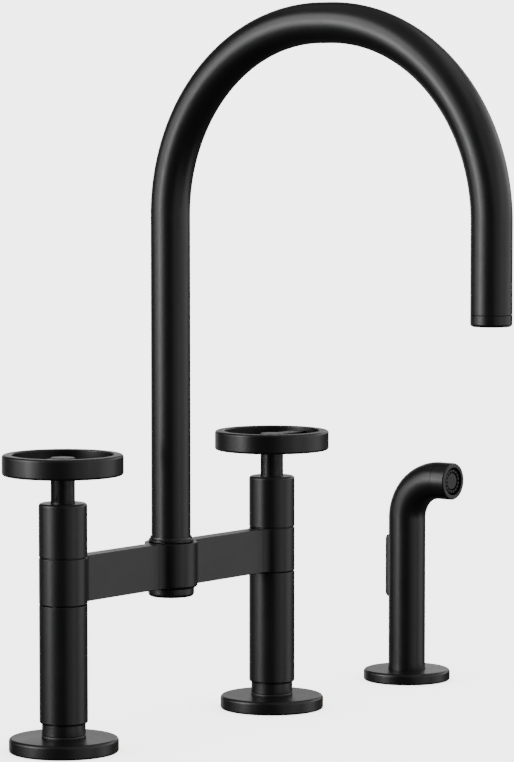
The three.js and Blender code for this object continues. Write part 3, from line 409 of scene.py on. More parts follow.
def rounded(corners, closed):
    """An outline with rounded corners. A corner is (across, along) or (across, along, fillet)."""
    outline = []
    for i, corner in enumerate(corners):
        point = Vector(corner[:2])
        fillet = corner[2] if len(corner) > 2 else 0
        if not fillet or (not closed and i in (0, len(corners) - 1)):
            outline.append(point)
            continue
        before = (Vector(corners[i - 1][:2]) - point).normalized()
        after = (Vector(corners[(i + 1) % len(corners)][:2]) - point).normalized()
        half = before.angle(after) / 2
        centre = point + (before + after).normalized() * (fillet / math.sin(half))
        reach = fillet / math.tan(half)
        first, last = before * reach + point - centre, after * reach + point - centre
        sweep = math.atan2(first.cross(last), first.dot(last))
        steps = max(CORNER_STEPS, math.ceil(abs(sweep) / CORNER_STEP))
        outline += [centre + spun(first, sweep * k / steps) for k in range(steps + 1)]
    return outline


def spun(vector, angle):
    """A flat vector turned by an angle."""
    c, s = math.cos(angle), math.sin(angle)
    return Vector((vector.x * c - vector.y * s, vector.x * s + vector.y * c))


def round_point(axis, across, around, along):
    """A point at a distance and an angle round an axis, and along it."""
    right, side = across * math.cos(around), across * math.sin(around)
    points = {"up": (right, side, along), "front": (right, -along, side),
              "back": (right, along, side)}
    return Vector(points[axis])


def turned(corners, axis="up", place=(0, 0, 0), closed=True, steps=TURN_STEPS):
    """A mesh turned from an outline in mm. An open outline starts and ends on the axis."""
    work = bmesh.new()
    rings = []
    for across, along in rounded(corners, closed):
        copies = steps if across > SAME_POINT else 1
        angles = [2 * math.pi * k / steps for k in range(copies)]
        rings.append([work.verts.new(round_point(axis, across, angle, along) + Vector(place))
                      for angle in angles])
    following = rings[1:] + rings[:1] if closed else rings[1:]
    for lower, upper in zip(rings, following):
        for k in range(steps):
            n = (k + 1) % steps
            if len(lower) == 1:
                work.faces.new((lower[0], upper[n], upper[k]))
            elif len(upper) == 1:
                work.faces.new((lower[k], lower[n], upper[0]))
            else:
                work.faces.new((lower[k], lower[n], upper[n], upper[k]))
    return finished_mesh(work)


def finished_mesh(work):
    """The bmesh in metres, its faces turned out and smooth except at real edges."""
    bmesh.ops.recalc_face_normals(work, faces=work.faces)
    bmesh.ops.scale(work, vec=(MM, MM, MM), verts=work.verts)
    mesh = bpy.data.meshes.new("shape")
    work.to_mesh(mesh)
    work.free()
    smooth(mesh)
    return mesh


def smooth(mesh):
    """Shades a mesh smooth, with its real edges sharp."""
    mesh.polygons.foreach_set("use_smooth", [True] * len(mesh.polygons))
    mesh.set_sharp_from_angle(angle=SHARP_ANGLE)


def plate(outline, low, high, bevel=0.0, place=(0, 0, 0), axis="up"):
    """A flat piece: an outline in mm, from low to high along its axis, with rounded edges."""
    turn = {"up": lambda x, y, z: (x, y, z), "side": lambda y, z, x: (x, y, z)}[axis]
    work = bmesh.new()
    bottom = [work.verts.new(Vector(turn(p[0], p[1], low)) + Vector(place)) for p in outline]
    top = [work.verts.new(Vector(turn(p[0], p[1], high)) + Vector(place)) for p in outline]
    lower_face = work.faces.new(bottom)
    upper_face = work.faces.new(top)
    for k in range(len(outline)):
        n = (k + 1) % len(outline)
        work.faces.new((bottom[k], bottom[n], top[n], top[k]))
    bmesh.ops.recalc_face_normals(work, faces=work.faces)
    if bevel:
        edges = list({*lower_face.edges, *upper_face.edges})
        bmesh.ops.bevel(work, geom=edges, offset=bevel, segments=4, profile=0.5, affect="EDGES")
    return finished_mesh(work)


def swept(path, outer, inner, end_round, place=(0, 0, 0)):
    """A tube along a path of (y, z) points in mm in the plane X = 0, with rounded end edges."""
    work = bmesh.new()
    points = [Vector(p) for p in path]
    tangents = []
    for i in range(len(points)):
        ahead, behind = points[min(i + 1, len(points) - 1)], points[max(i - 1, 0)]
        tangents.append((ahead - behind).normalized())

    def ring(at, tangent, radius):
        across = Vector((tangent.y, -tangent.x))
        out = []
        for k in range(TURN_STEPS):
            angle = 2 * math.pi * k / TURN_STEPS
            y, z = at + across * (radius * math.sin(angle))
            out.append(work.verts.new(Vector((radius * math.cos(angle), y, z)) + Vector(place)))
        return out

    def end_rings(at, tangent, sign):
        """From the outer wall round the end to the inner wall."""
        rings = []
        for k in range(END_STEPS + 1):
            angle = math.pi / 2 * k / END_STEPS
            inset = end_round * (1 - math.cos(angle))
            back = end_round * (1 - math.sin(angle))
            rings.append(ring(at - tangent * sign * back, tangent, outer - inset))
        rings.append(ring(at, tangent, inner + end_round / 2))
        rings.append(ring(at - tangent * sign * end_round / 2, tangent, inner))
        return rings

    rings = end_rings(points[-1], tangents[-1], 1)
    rings += [ring(p, t, inner) for p, t in list(zip(points, tangents))[-2:0:-1]]
    rings += end_rings(points[0], tangents[0], -1)[::-1]
    rings += [ring(p, t, outer) for p, t in list(zip(points, tangents))[1:-1]]
    for lower, upper in zip(rings, rings[1:] + rings[:1]):
        for k in range(TURN_STEPS):
            n = (k + 1) % TURN_STEPS
            work.faces.new((lower[k], lower[n], upper[n], upper[k]))
    return finished_mesh(work)


def straight(start, end, steps):
    """Points from one end to the other."""
    return [tuple(a + (b - a) * k / steps for a, b in zip(start, end)) for k in range(steps + 1)]


def arc(centre, radius, start, end, steps):
    """Points round a centre, from one angle to the other."""
    angles = [start + (end - start) * k / steps for k in range(steps + 1)]
    return [(centre[0] + radius * math.cos(a), centre[1] + radius * math.sin(a)) for a in angles]


def one_after_another(*runs):
    """Runs of points joined into one, without the points that two runs share."""
    joined = []
    for point in (p for run in runs for p in run):
        if not joined or math.dist(point, joined[-1]) > SAME_POINT:
            joined.append(point)
    return joined


def combined(mesh, others, operation):
    """The mesh joined with others, less them, or where it overlaps them."""
    scene = bpy.context.scene.collection
    base = bpy.data.objects.new("base", mesh)
    scene.objects.link(base)
    tools = []
    for other in others:
        tool = bpy.data.objects.new("tool", other)
        scene.objects.link(tool)
        tools.append(tool)
        modifier = base.modifiers.new("shape", "BOOLEAN")
        modifier.operation = operation
        modifier.solver = "EXACT"
        modifier.object = tool
    depsgraph = bpy.context.evaluated_depsgraph_get()
    result = bpy.data.meshes.new_from_object(base.evaluated_get(depsgraph))
    for item in [base, *tools]:
        bpy.data.objects.remove(item)
    smooth(result)
    return result


def added(mesh, *others):
    return combined(mesh, others, "UNION")


def cut(mesh, *others):
    return combined(mesh, others, "DIFFERENCE")


def rod(radius, low, high, axis="up", place=(0, 0, 0), steps=ROD_STEPS, edge=0.0):
    """A solid rod, or a drill."""
    ends = [(0, low), (radius, low, edge), (radius, high, edge), (0, high)]
    return turned(ends, axis, place, closed=False, steps=steps)


def side_rod(radius, half_length, y, z, x=0.0):
    """A rod along X."""
    angles = [2 * math.pi * k / SIDE_ROD_STEPS for k in range(SIDE_ROD_STEPS)]
    outline = [(y + radius * math.cos(a), z + radius * math.sin(a)) for a in angles]
    return plate(outline, x - half_length, x + half_length, axis="side")


def hexagon(corner):
    """The outline of a nut, from how far its corners are from its middle."""
    angles = [math.radians(60 * k) for k in range(6)]
    return [(corner * math.cos(a), corner * math.sin(a)) for a in angles]


def piece(mesh, node, material, even_flats=False):
    """A finished mesh that stands for a CAD node and rides on that node's body."""
    name = node + "_fine"
    mesh.name = name
    mesh.materials.clear()
    mesh.materials.append(material)
    item = bpy.data.objects.new(name, mesh)
    bpy.context.scene.collection.objects.link(item)
    if even_flats:
        weighting = item.modifiers.new("even_flats", "WEIGHTED_NORMAL")
        weighting.keep_sharp = True
    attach(item, frame["nodes"][node]["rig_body"])
    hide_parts(node)


def coated(mesh, node):
    """A piece in the black coating."""
    piece(mesh, node, COATING, even_flats=True)


def steel(mesh, node):
    """A piece of zinc-plated steel."""
    piece(mesh, node, ZINC_STEEL, even_flats=True)


def in_brass(mesh, node):
    """A piece turned from brass."""
    piece(mesh, node, BRASS, even_flats=True)


def in_rubber(mesh, node):
    """A rubber piece, round enough to need no even flats."""
    piece(mesh, node, RUBBER)


def moulded(mesh, node):
    """A piece moulded in black plastic."""
    piece(mesh, node, ACETAL, even_flats=True)


# ------------------------------------------------------------------ threads, holes and jets

def group_inputs(tree, kinds):
    """Named inputs of a geometry tree and their identifiers, after its geometry input."""
    face = tree.interface
    face.new_socket("Geometry", in_out="INPUT", socket_type="NodeSocketGeometry")
    face.new_socket("Geometry", in_out="OUTPUT", socket_type="NodeSocketGeometry")
    return {name: face.new_socket(name, in_out="INPUT", socket_type="NodeSocket" + kind).identifier
            for name, kind in kinds.items()}


def real_and_painted(tree, geometry, given):
    """The end of a tree: real geometry with its material."""
    real = add_node(tree, "GeometryNodeRealizeInstances", {}, Geometry=geometry)
    painted = add_node(tree, "GeometryNodeSetMaterial", {},
                       Geometry=real.outputs["Geometry"], Material=given.outputs["Material"])
    add_node(tree, "NodeGroupOutput", {}, Geometry=painted.outputs["Geometry"])


def thread_tree():
    """A helical thread ridge round Z, from named sizes in metres."""
    tree = bpy.data.node_groups.new("thread_ridge", "GeometryNodeTree")
    inputs = group_inputs(tree, {"Root radius": "Float", "Turns": "Float", "Length": "Float",
                                 "Ridge": "Float", "Low end": "Vector", "Material": "Material"})
    given = add_node(tree, "NodeGroupInput")
    helix = add_node(tree, "GeometryNodeCurveSpiral", {"Resolution": 48},
                     Rotations=given.outputs["Turns"], Start_Radius=given.outputs["Root radius"],
                     End_Radius=given.outputs["Root radius"], Height=given.outputs["Length"])
    ridge = add_node(tree, "GeometryNodeCurvePrimitiveCircle", {"Resolution": 4},
                     Radius=given.outputs["Ridge"])
    swept_ridge = add_node(tree, "GeometryNodeCurveToMesh", {"Fill Caps": True},
                           Curve=helix.outputs["Curve"], Profile_Curve=ridge.outputs["Curve"])
    placed = add_node(tree, "GeometryNodeTransform", {},
                      Geometry=swept_ridge.outputs["Mesh"], Translation=given.outputs["Low end"])
    real_and_painted(tree, placed.outputs["Geometry"], given)
    return tree, inputs


def round_tree():
    """A shape repeated on a circle round Z, each copy turned with its place."""
    tree = bpy.data.node_groups.new("round_an_axis", "GeometryNodeTree")
    inputs = group_inputs(tree, {"Count": "Int", "Circle": "Float", "Step": "Vector",
                                 "Turn": "Vector", "Place": "Vector", "Material": "Material"})
    given = add_node(tree, "NodeGroupInput")
    circle = add_node(tree, "GeometryNodeMeshCircle", {}, Vertices=given.outputs["Count"],
                      Radius=given.outputs["Circle"])
    index = add_node(tree, "GeometryNodeInputIndex")
    turn = add_node(tree, "ShaderNodeVectorMath", {"operation": "SCALE"},
                    Vector=given.outputs["Step"], Scale=index.outputs["Index"])
    copies = add_node(tree, "GeometryNodeInstanceOnPoints", {},
                      Points=circle.outputs["Mesh"], Instance=given.outputs["Geometry"],
                      Rotation=turn.outputs["Vector"])
    placed = add_node(tree, "GeometryNodeTransform", {}, Geometry=copies.outputs["Instances"],
                      Translation=given.outputs["Place"], Rotation=given.outputs["Turn"])
    real_and_painted(tree, placed.outputs["Geometry"], given)
    return tree, inputs


THREAD = thread_tree()
ROUND = round_tree()


def grown(mesh, tree_and_inputs, values):
    """The mesh that a geometry tree makes of another mesh."""
    tree, inputs = tree_and_inputs
    item = bpy.data.objects.new("grown", mesh)
    bpy.context.scene.collection.objects.link(item)
    modifier = item.modifiers.new("grown", "NODES")
    modifier.node_group = tree
    for name, value in values.items():
        modifier[inputs[name]] = value
    depsgraph = bpy.context.evaluated_depsgraph_get()
    result = bpy.data.meshes.new_from_object(item.evaluated_get(depsgraph))
    bpy.data.objects.remove(item)
    smooth(result)
    return result


def thread(crest, pitch, low, high, ends, x):
    """The ridge of a brass tube that is threaded from low to high, sunk a hair into its root. It
    keeps clear of both plain ends. Sizes are in mm."""
    root = crest - THREAD_DEPTH - HAIR
    start, end = low + ends[0], high - ends[1]
    return grown(bpy.data.meshes.new("thread"), THREAD, {
        "Root radius": root * MM, "Turns": (end - start) / pitch, "Length": (end - start) * MM,
        "Ridge": THREAD_DEPTH * MM, "Low end": (x * MM, 0, start * MM), "Material": BRASS})


def drills(drill, count, circle, axis, place):
    """A drill that was made round Z at the origin, repeated on a circle round an axis at place,
    to cut moulded pieces."""
    turn = {"up": 0.0, "front": math.pi / 2}[axis]
    return grown(drill, ROUND, {
        "Count": count, "Circle": circle * MM, "Step": (0, 0, 2 * math.pi / count),
        "Turn": (turn, 0, 0), "Place": [value * MM for value in place], "Material": ACETAL})


def together(*meshes):
    """Several meshes as one."""
    work = bmesh.new()
    for mesh in meshes:
        work.from_mesh(mesh)
    result = bpy.data.meshes.new("joined")
    work.to_mesh(result)
    work.free()
    smooth(result)
    return result


# ------------------------------------------------------------------ camera, light and floor

def softbox(name, bearing, half_angle, low, high, radiance):
    """A soft light that stands round the object. bearing is in degrees to the right of the
    camera, seen from the object; low and high are its edges above the floor, in metres."""
    aside = camera_side(bearing)
    width = 2 * LIGHT_DISTANCE * math.tan(math.radians(half_angle))
    item = panel(name, width, high - low, radiance)
    item.location = (*(STAND + aside * LIGHT_DISTANCE), (low + high) / 2)
    item.rotation_euler = Vector((-aside.x, -aside.y, 0)).to_track_quat("-Z", "Z").to_euler()


def panel(name, width, height, radiance):
    """A light panel that the camera doesn't see."""
    data = bpy.data.lights.new(name, "AREA")
    data.shape = "RECTANGLE"
    data.size, data.size_y = width, height
    data.energy = radiance * math.pi * width * height
    item = bpy.data.objects.new(name, data)
    bpy.context.scene.collection.objects.link(item)
    item.visible_camera = False
    return item


def camera_side(bearing):
    """The level direction at a bearing to the right of the camera, seen from the object."""
    towards = (camera.location.xy - STAND).normalized()
    right = Vector((-towards.y, towards.x))
    angle = math.radians(bearing)
    return towards * math.cos(angle) + right * math.sin(angle)


def ceiling_panel(name, bearing, aside, radiance):
    """A long panel over the object, pointing away from the camera."""
    item = panel(name, CEILING_PANEL[0], CEILING_PANEL[1], radiance)
    item.location = (*(STAND + camera_side(bearing) * aside), CEILING)
    across = camera_side(90)
    item.rotation_euler = (0, 0, math.atan2(across.y, across.x))


# The camera, solved from the faucet's known sizes. Its places are in metres.
camera_data = bpy.data.cameras.new("photo_camera")
camera_data.sensor_width = 36.0
camera_data.lens = 175.178
camera_data.shift_x = -0.004377
camera_data.clip_start = 0.05
camera_data.clip_end = 50.0
camera = bpy.data.objects.new("photo_camera", camera_data)
camera.location = (-1.763361, -1.454453, 0.393859)
camera.rotation_euler = (math.radians(90 - 4.423), math.radians(0.015), math.radians(-51.873))
bpy.context.scene.collection.objects.link(camera)
bpy.context.scene.camera = camera

# The studio, in metres: the place that the lights face, and the levels of their edges. The world
# and the floor light the object dimly, and the camera sees them pale.
STAND = Vector((0.06, -0.1))
LIGHT_DISTANCE = 4.0
LOWEST, FLOOR_LEVEL, DECK_LEVEL, EYE_LEVEL = -1.2, 0.0, 0.1, 1.0
BACK_TOP, BACK_LEFT_TOP, HIGHEST = 1.6, 2.2, 4.2
CEILING = 2.0
CEILING_PANEL = (0.9, 2.7)
CEILING_SIDE = 0.9
WORLD_LIGHT, WORLD_SEEN = 0.065, 4.5
FLOOR_RADIUS = 2.4
# the floor's glow to the camera, its glow under the painted shadow at the object's foot, and how
# far that painted shadow reaches, in metres
FLOOR_SEEN, FLOOR_SEEN_IN_PAINTED_SHADOW = 4.4, 2.2
PAINTED_SHADOW_REACH = 0.12

# A bright window to the left of the camera, and a dim white wall round its right and behind: each
# panel's bearing, half its width in degrees, its lower and upper edge, and its radiance.
softbox("window_low", -66, 11, DECK_LEVEL, EYE_LEVEL, 11.5)
softbox("window_low_edge", -48, 8, DECK_LEVEL, EYE_LEVEL, 4.0)
softbox("window_low_side", -95, 15, DECK_LEVEL, EYE_LEVEL, 2.2)
softbox("window_high", -70, 20, EYE_LEVEL, HIGHEST, 4.2)
softbox("window_sill", -75, 35, LOWEST, DECK_LEVEL, 0.4)
softbox("wall_front_right", 30, 20, LOWEST, HIGHEST, 0.57)
softbox("wall_right", 60, 10, LOWEST, HIGHEST, 0.85)
softbox("wall_far_right", 100, 30, LOWEST, HIGHEST, 1.15)
softbox("wall_back_right", 145, 15, LOWEST, HIGHEST, 0.9)
softbox("wall_back", 180, 13, FLOOR_LEVEL, BACK_TOP, 0.5)
softbox("wall_back_left", -160, 10, LOWEST, BACK_LEFT_TOP, 0.7)
ceiling_panel("ceiling_left", -90, CEILING_SIDE, 0.3)
ceiling_panel("ceiling_middle", 0, 0.0, 0.2)
ceiling_panel("ceiling_right", 90, CEILING_SIDE, 0.95)

world = bpy.data.worlds.new("studio")
world.use_nodes = True
bpy.context.scene.world = world
surroundings = world.node_tree
for old in list(surroundings.nodes):
    surroundings.nodes.remove(old)
dim, pale = (
    add_node(surroundings, "ShaderNodeBackground", {"Color": srgb("ffffff"), "Strength": strength})
    for strength in (WORLD_LIGHT, WORLD_SEEN))
rays = add_node(surroundings, "ShaderNodeLightPath")
either = add_node(surroundings, "ShaderNodeMixShader", {}, Fac=rays.outputs["Is Camera Ray"])
surroundings.links.new(dim.outputs["Background"], either.inputs[1])
surroundings.links.new(pale.outputs["Background"], either.inputs[2])
add_node(surroundings, "ShaderNodeOutputWorld", {}, Surface=either.outputs["Shader"])

# The floor is a pale sheet to the camera, with a painted shadow that dims its glow at the
# object's foot, and dark grey card in reflections.
floor_paper, floor_tree, floor_shader = new_material("studio_floor", "3c3c3c", 0.9)[:3]
floor_shader.inputs["Specular IOR Level"].default_value = 0.0
# painted shadow: an occlusion mask darkens the floor's glow near the object and stands in for a
# contact shadow, since no real shadow shows on the floor
foot = add_node(floor_tree, "ShaderNodeAmbientOcclusion", {"Distance": PAINTED_SHADOW_REACH, "samples": 8})
painted_shadow_glow = add_node(floor_tree, "ShaderNodeMapRange",
                {"To Min": FLOOR_SEEN_IN_PAINTED_SHADOW, "To Max": FLOOR_SEEN}, Value=foot.outputs["AO"])
pale_sheet = add_node(floor_tree, "ShaderNodeEmission", {}, Strength=painted_shadow_glow.outputs["Result"])
floor_rays = add_node(floor_tree, "ShaderNodeLightPath")
sheet = add_node(floor_tree, "ShaderNodeMixShader", {}, Fac=floor_rays.outputs["Is Camera Ray"])
floor_tree.links.new(floor_shader.outputs["BSDF"], sheet.inputs[1])
floor_tree.links.new(pale_sheet.outputs["Emission"], sheet.inputs[2])
floor_tree.links.new(sheet.outputs["Shader"],
                     floor_tree.nodes["Material Output"].inputs["Surface"])
floor_mesh = bpy.data.meshes.new("floor")
floor_work = bmesh.new()
bmesh.ops.create_circle(floor_work, cap_ends=True, segments=96, radius=FLOOR_RADIUS)
floor_work.to_mesh(floor_mesh)
floor_work.free()
floor_mesh.materials.append(floor_paper)
floor = bpy.data.objects.new("floor", floor_mesh)
bpy.context.scene.collection.objects.link(floor)
floor.location.z = -HAIR * MM  # clear of the escutcheons' undersides, which lie at 0
floor.visible_glossy = False
floor.visible_shadow = False


# ------------------------------------------------------------------ posts and handwheels

def key_hole(screw_radius, low, high, axis, place):
    """A screw's hexagonal key hole, as a cutting tool."""
    return rod(KEY_HOLE * screw_radius, low, high, axis, place, steps=6)


def escutcheon(node, inner_corners, mouth, mouth_edge, place):
    """A shallow dish on the deck: its rim, its rounded edges, and the mouth in its top."""
    outer = radius(node)
    recess = outer - ESCUTCHEON_RIM
    high = span(node)[1]
    return turned([
        *inner_corners, (recess, GASKET_HIGH + FIT), (recess, 0, FINE_EDGE),
        (outer, 0, ESCUTCHEON_FOOT), (outer, high, ESCUTCHEON_EDGE), (mouth, high, mouth_edge),
    ], place=place, steps=RIM_STEPS)


def neck_ring(place):
    """The ring that the post stands on, with the black groove between them."""
    low, high = span("neck_ring_right")
    shoulder, groove = high - SHADOW_LINE, NECK - SEAM_DEPTH
    return turned([
        (SHANK_HOLE, low), (NECK, low, FINE_EDGE), (NECK, shoulder, FINE_EDGE), (groove, shoulder),
        (groove, POST_LOW - HAIR), (SHANK_HOLE, POST_LOW - HAIR)], place=place)


def neck_seal(node, place):
    """The seal, squeezed between escutcheon and neck. Its round shoulder shows as a pale line."""
    low, high = span(node)
    outer = NECK + SEAL_OVER
    return turned([
        (SHANK_HOLE, low - SEAT), (outer, low - SEAT, FINE_EDGE),
        (outer, high + SEAT - HAIR, SEAL_SHOULDER), (SHANK_HOLE, high + SEAT - HAIR)], place=place)


def lower_post(place):
    """The riser, with the spigot that the bridge's collar hides and the socket for the shank."""
    shoulder = BRIDGE_LOW - SEAM - SHADOW_LINE
    socket_high = SHANK_HIGH + FIT
    return turned([
        (SHANK_HOLE, POST_LOW), (POST, POST_LOW, POST_FOOT), (POST, shoulder, SEAM_EDGE),
        (SPIGOT, shoulder), (SPIGOT, SPIGOT_HIGH, SOFT_EDGE), (POST_BORE, SPIGOT_HIGH),
        (POST_BORE, socket_high), (SHANK_HOLE, socket_high)], place=place)


def upper_sleeve(place):
    """The bonnet over the cartridge, with a lip that closes the seam over the bridge's collar."""
    web_low = SLEEVE_HIGH - SLEEVE_WEB
    lip, lip_low = POST - SEAM_DEPTH, BRIDGE_HIGH + HAIR
    foot = SLEEVE_LOW + SHADOW_LINE
    return turned([
        (SLEEVE_BORE, lip_low), (lip, lip_low), (lip, foot), (POST, foot, SEAM_EDGE),
        (POST, SLEEVE_HIGH, SLEEVE_ROUND), (SLEEVE_MOUTH, SLEEVE_HIGH, FINE_EDGE),
        (SLEEVE_MOUTH, web_low), (SLEEVE_BORE, web_low)], place=place)


def handwheel(side, x, outwards):
    """The ring, one spoke pointing outwards, and the stem with the hole for its set screw."""
    place = (x, 0, 0)
    inner = WHEEL - WHEEL_WALL
    ring = turned([
        (inner, WHEEL_LOW, WHEEL_INNER_ROUND), (WHEEL, WHEEL_LOW, WHEEL_ROUND),
        (WHEEL, WHEEL_HIGH, WHEEL_ROUND), (inner, WHEEL_HIGH, WHEEL_INNER_ROUND)],
        place=place, steps=RIM_STEPS)
    stem_low = SLEEVE_HIGH + SEAM
    socket, socket_high = SPINDLE + FIT, SPINDLE_HIGH + FIT
    stem = turned([
        (0, socket_high), (socket, socket_high), (socket, WHEEL_SPIGOT_LOW),
        (STEM_SPIGOT, WHEEL_SPIGOT_LOW), (STEM_SPIGOT, stem_low), (STEM, stem_low, SOFT_EDGE),
        (STEM, WHEEL_HUB_HIGH, 2 * SOFT_EDGE), (0, WHEEL_HUB_HIGH)], place=place, closed=False)
    near, far = sorted((x + outwards * STEM / 2, x + outwards * (inner + WHEEL_WALL / 3)))
    outline = [(near, -SPOKE_HALF), (far, -SPOKE_HALF), (far, SPOKE_HALF), (near, SPOKE_HALF)]
    spoke = plate(outline, SPOKE_LOW, SPOKE_HIGH, bevel=2 * SOFT_EDGE)
    screw = f"handle_screw_{side}"
    hole = rod(radius(screw, "z") + FIT, SPINDLE / 2, STEM + OVERRUN, "back",
               (x, 0, middle(screw, "z")))
    return cut(added(ring, stem, spoke), hole)


def handle_screw(side, x):
    """A grub screw with a hexagonal key hole."""
    node = f"handle_screw_{side}"
    size = radius(node, "z")
    low, high = span(node, "y")
    place = (x, 0, middle(node, "z"))
    screw = rod(size, low, high, "back", place, edge=FINE_EDGE)
    return cut(screw, key_hole(size, (low + high) / 2, high + OVERRUN, "back", place))


def supply_shank(x):
    """A threaded tube, plain where it runs through the deck and into the post."""
    root = SHANK - THREAD_DEPTH
    core = turned([
        (SHANK_BORE, SHANK_LOW, SOFT_EDGE), (root, SHANK_LOW, SOFT_EDGE),
        (root, SHANK_THREAD_HIGH), (SHANK, SHANK_THREAD_HIGH + SHANK_FADE),
        (SHANK, SHANK_HIGH, SOFT_EDGE), (SHANK_BORE, SHANK_HIGH)], place=(x, 0, 0))
    return together(core, thread(SHANK, SHANK_PITCH, SHANK_LOW, SHANK_THREAD_HIGH, SHANK_ENDS, x))


def washer(node, inner, place):
    """A plain washer or gasket in the place of its CAD node."""
    low, high = span(node)
    outer = radius(node)
    return turned([(inner, low, SOFT_EDGE), (outer, low, SOFT_EDGE), (outer, high, SOFT_EDGE),
                   (inner, high, SOFT_EDGE)], place=place)


def lock_nut(node, hole, place):
    """A hexagonal nut whose corners are turned off at both faces."""
    corner = radius(node)
    low, high = span(node)
    face, depth = NUT_FACE * corner, NUT_DEPTH * corner
    blank = plate(hexagon(corner), low, high, place=place)
    turned_off = turned([
        (0, low), (face, low), (corner + FIT, low + depth), (corner + FIT, high - depth),
        (face, high), (0, high)], place=place, closed=False)
    bore = rod(hole, low - OVERRUN, high + OVERRUN, place=place, steps=96)
    return cut(combined(blank, [turned_off], "INTERSECT"), bore)


for side, outwards in (("left", -1), ("right", 1)):
    post_x = outwards * POST_X
    here = (post_x, 0, 0)
    top_hole = [(SHANK_HOLE, GASKET_HIGH + FIT)]
    coated(escutcheon(f"escutcheon_{side}", top_hole, SHANK_HOLE, FINE_EDGE, here),
           f"escutcheon_{side}")
    coated(neck_ring(here), f"neck_ring_{side}")
    coated(lower_post(here), f"lower_post_{side}")
    coated(upper_sleeve(here), f"upper_sleeve_{side}")
    coated(handwheel(side, post_x, outwards), f"handwheel_{side}")
    in_rubber(neck_seal(f"neck_seal_{side}", here), f"neck_seal_{side}")
    in_rubber(washer(f"deck_gasket_{side}", GASKET_BORE, here), f"deck_gasket_{side}")
    steel(handle_screw(side, post_x), f"handle_screw_{side}")
    in_brass(supply_shank(post_x), f"supply_shank_{side}")
    steel(washer(f"deck_washer_{side}", SHANK_HOLE, here), f"deck_washer_{side}")
    in_brass(lock_nut(f"lock_nut_{side}", SHANK_HOLE, here), f"lock_nut_{side}")


# ------------------------------------------------------------------ bridge

def bridge_outline():
    """The plan of the bridge without its hub: the bar, its two collars, and the tangent fillets
    of the collars and of the hub."""
    fillet_y = BAR_HALF + FILLET
    collar_reach = math.sqrt((POST + FILLET) ** 2 - fillet_y ** 2)
    hub_reach = math.sqrt((HUB + FILLET) ** 2 - fillet_y ** 2)
    collar_tilt = math.atan2(fillet_y, collar_reach)
    hub_tilt = math.atan2(fillet_y, hub_reach)
    fillet_steps, collar_steps = 16, 96
    runs = []
    for sign, turn in ((1, 0.0), (-1, math.pi)):
        def fillet(x, start, end):
            centre = (sign * x, sign * fillet_y)
            return arc(centre, FILLET, turn + start, turn + end, fillet_steps)

        runs += [
            arc((sign * POST_X, 0), POST, turn + collar_tilt - math.pi,
                turn + math.pi - collar_tilt, collar_steps),
            fillet(POST_X - collar_reach, -collar_tilt, -math.pi / 2),
            fillet(hub_reach, -math.pi / 2, hub_tilt - math.pi),
            fillet(-hub_reach, -hub_tilt, -math.pi / 2),
            fillet(collar_reach - POST_X, -math.pi / 2, collar_tilt - math.pi),
        ]
    outline = one_after_another(*runs)
    if math.dist(outline[0], outline[-1]) < SAME_POINT:
        outline.pop()
    return outline


def bore(corners, place=(0, 0, 0)):
    """A stepped bore as a cutting tool: (radius, how high it reaches) from the bottom up."""
    low = HUB_LOW - OVERRUN
    outline = [(0, low)]
    for size, high in corners:
        outline += [(size, low), (size, high)]
        low = high
    return turned([*outline, (0, low)], place=place, closed=False)


def bridge_casting():
    """The casting with the bores that the posts, the spout and the water need."""
    bar = plate(bridge_outline(), BRIDGE_LOW, BRIDGE_HIGH, bevel=BRIDGE_EDGE)
    hub = turned([(0, HUB_LOW), (HUB, HUB_LOW, HUB_FOOT_ROUND), (HUB, BRIDGE_HIGH, BRIDGE_EDGE),
                  (0, BRIDGE_HIGH)], closed=False, steps=RIM_STEPS)
    above = BRIDGE_HIGH + OVERRUN
    screw = "spout_retaining_screw"
    tools = [
        bore([(HUB_BORE, WASHER_POCKET_LOW), (WASHER_POCKET, above)]),
        rod(radius(screw, "z") + FIT, HUB_BORE / 2, HUB + OVERRUN, "back",
            (0, 0, middle(screw, "z"))),
        side_rod(CHANNEL, POST_X, 0, CHANNEL_Z),
    ]
    for x in (-POST_X, POST_X):
        tools.append(bore([(SPIGOT + FIT, SPIGOT_HIGH + FIT), (CARTRIDGE_BORE, above)], (x, 0, 0)))
    return cut(added(bar, hub), *tools)


def hub_cap():
    """The plug that closes the hub from below, with its rounded cap."""
    cap_high = HUB_LOW - SEAM
    plug = HUB_BORE - FIT
    pocket_low = CAP_LOW + CAP_FLOOR
    return turned([
        (0, CAP_LOW), (CAP, CAP_LOW, CAP_ROUND), (CAP, cap_high, FINE_EDGE), (plug, cap_high),
        (plug, CAP_PLUG_HIGH), (CAP_POCKET, CAP_PLUG_HIGH), (CAP_POCKET, pocket_low),
        (0, pocket_low)], closed=False)


def spout_screw():
    """The screw that keeps the spout in the hub, its tip in the swivel's groove."""
    node = "spout_retaining_screw"
    low, high = span(node, "y")
    size = radius(node, "z")
    shoulder = HUB_BORE + FIT
    place = (0, 0, middle(node, "z"))
    screw = turned([
        (0, low), (SCREW_TIP, low), (SCREW_TIP, shoulder), (size, shoulder, FINE_EDGE),
        (size, high, SOFT_EDGE), (0, high)], "back", place, closed=False)
    return cut(screw, key_hole(size, high - size, high + OVERRUN, "back", place))


coated(bridge_casting(), "bridge_body")
coated(hub_cap(), "hub_cap")
steel(spout_screw(), "spout_retaining_screw")


# ------------------------------------------------------------------ spout

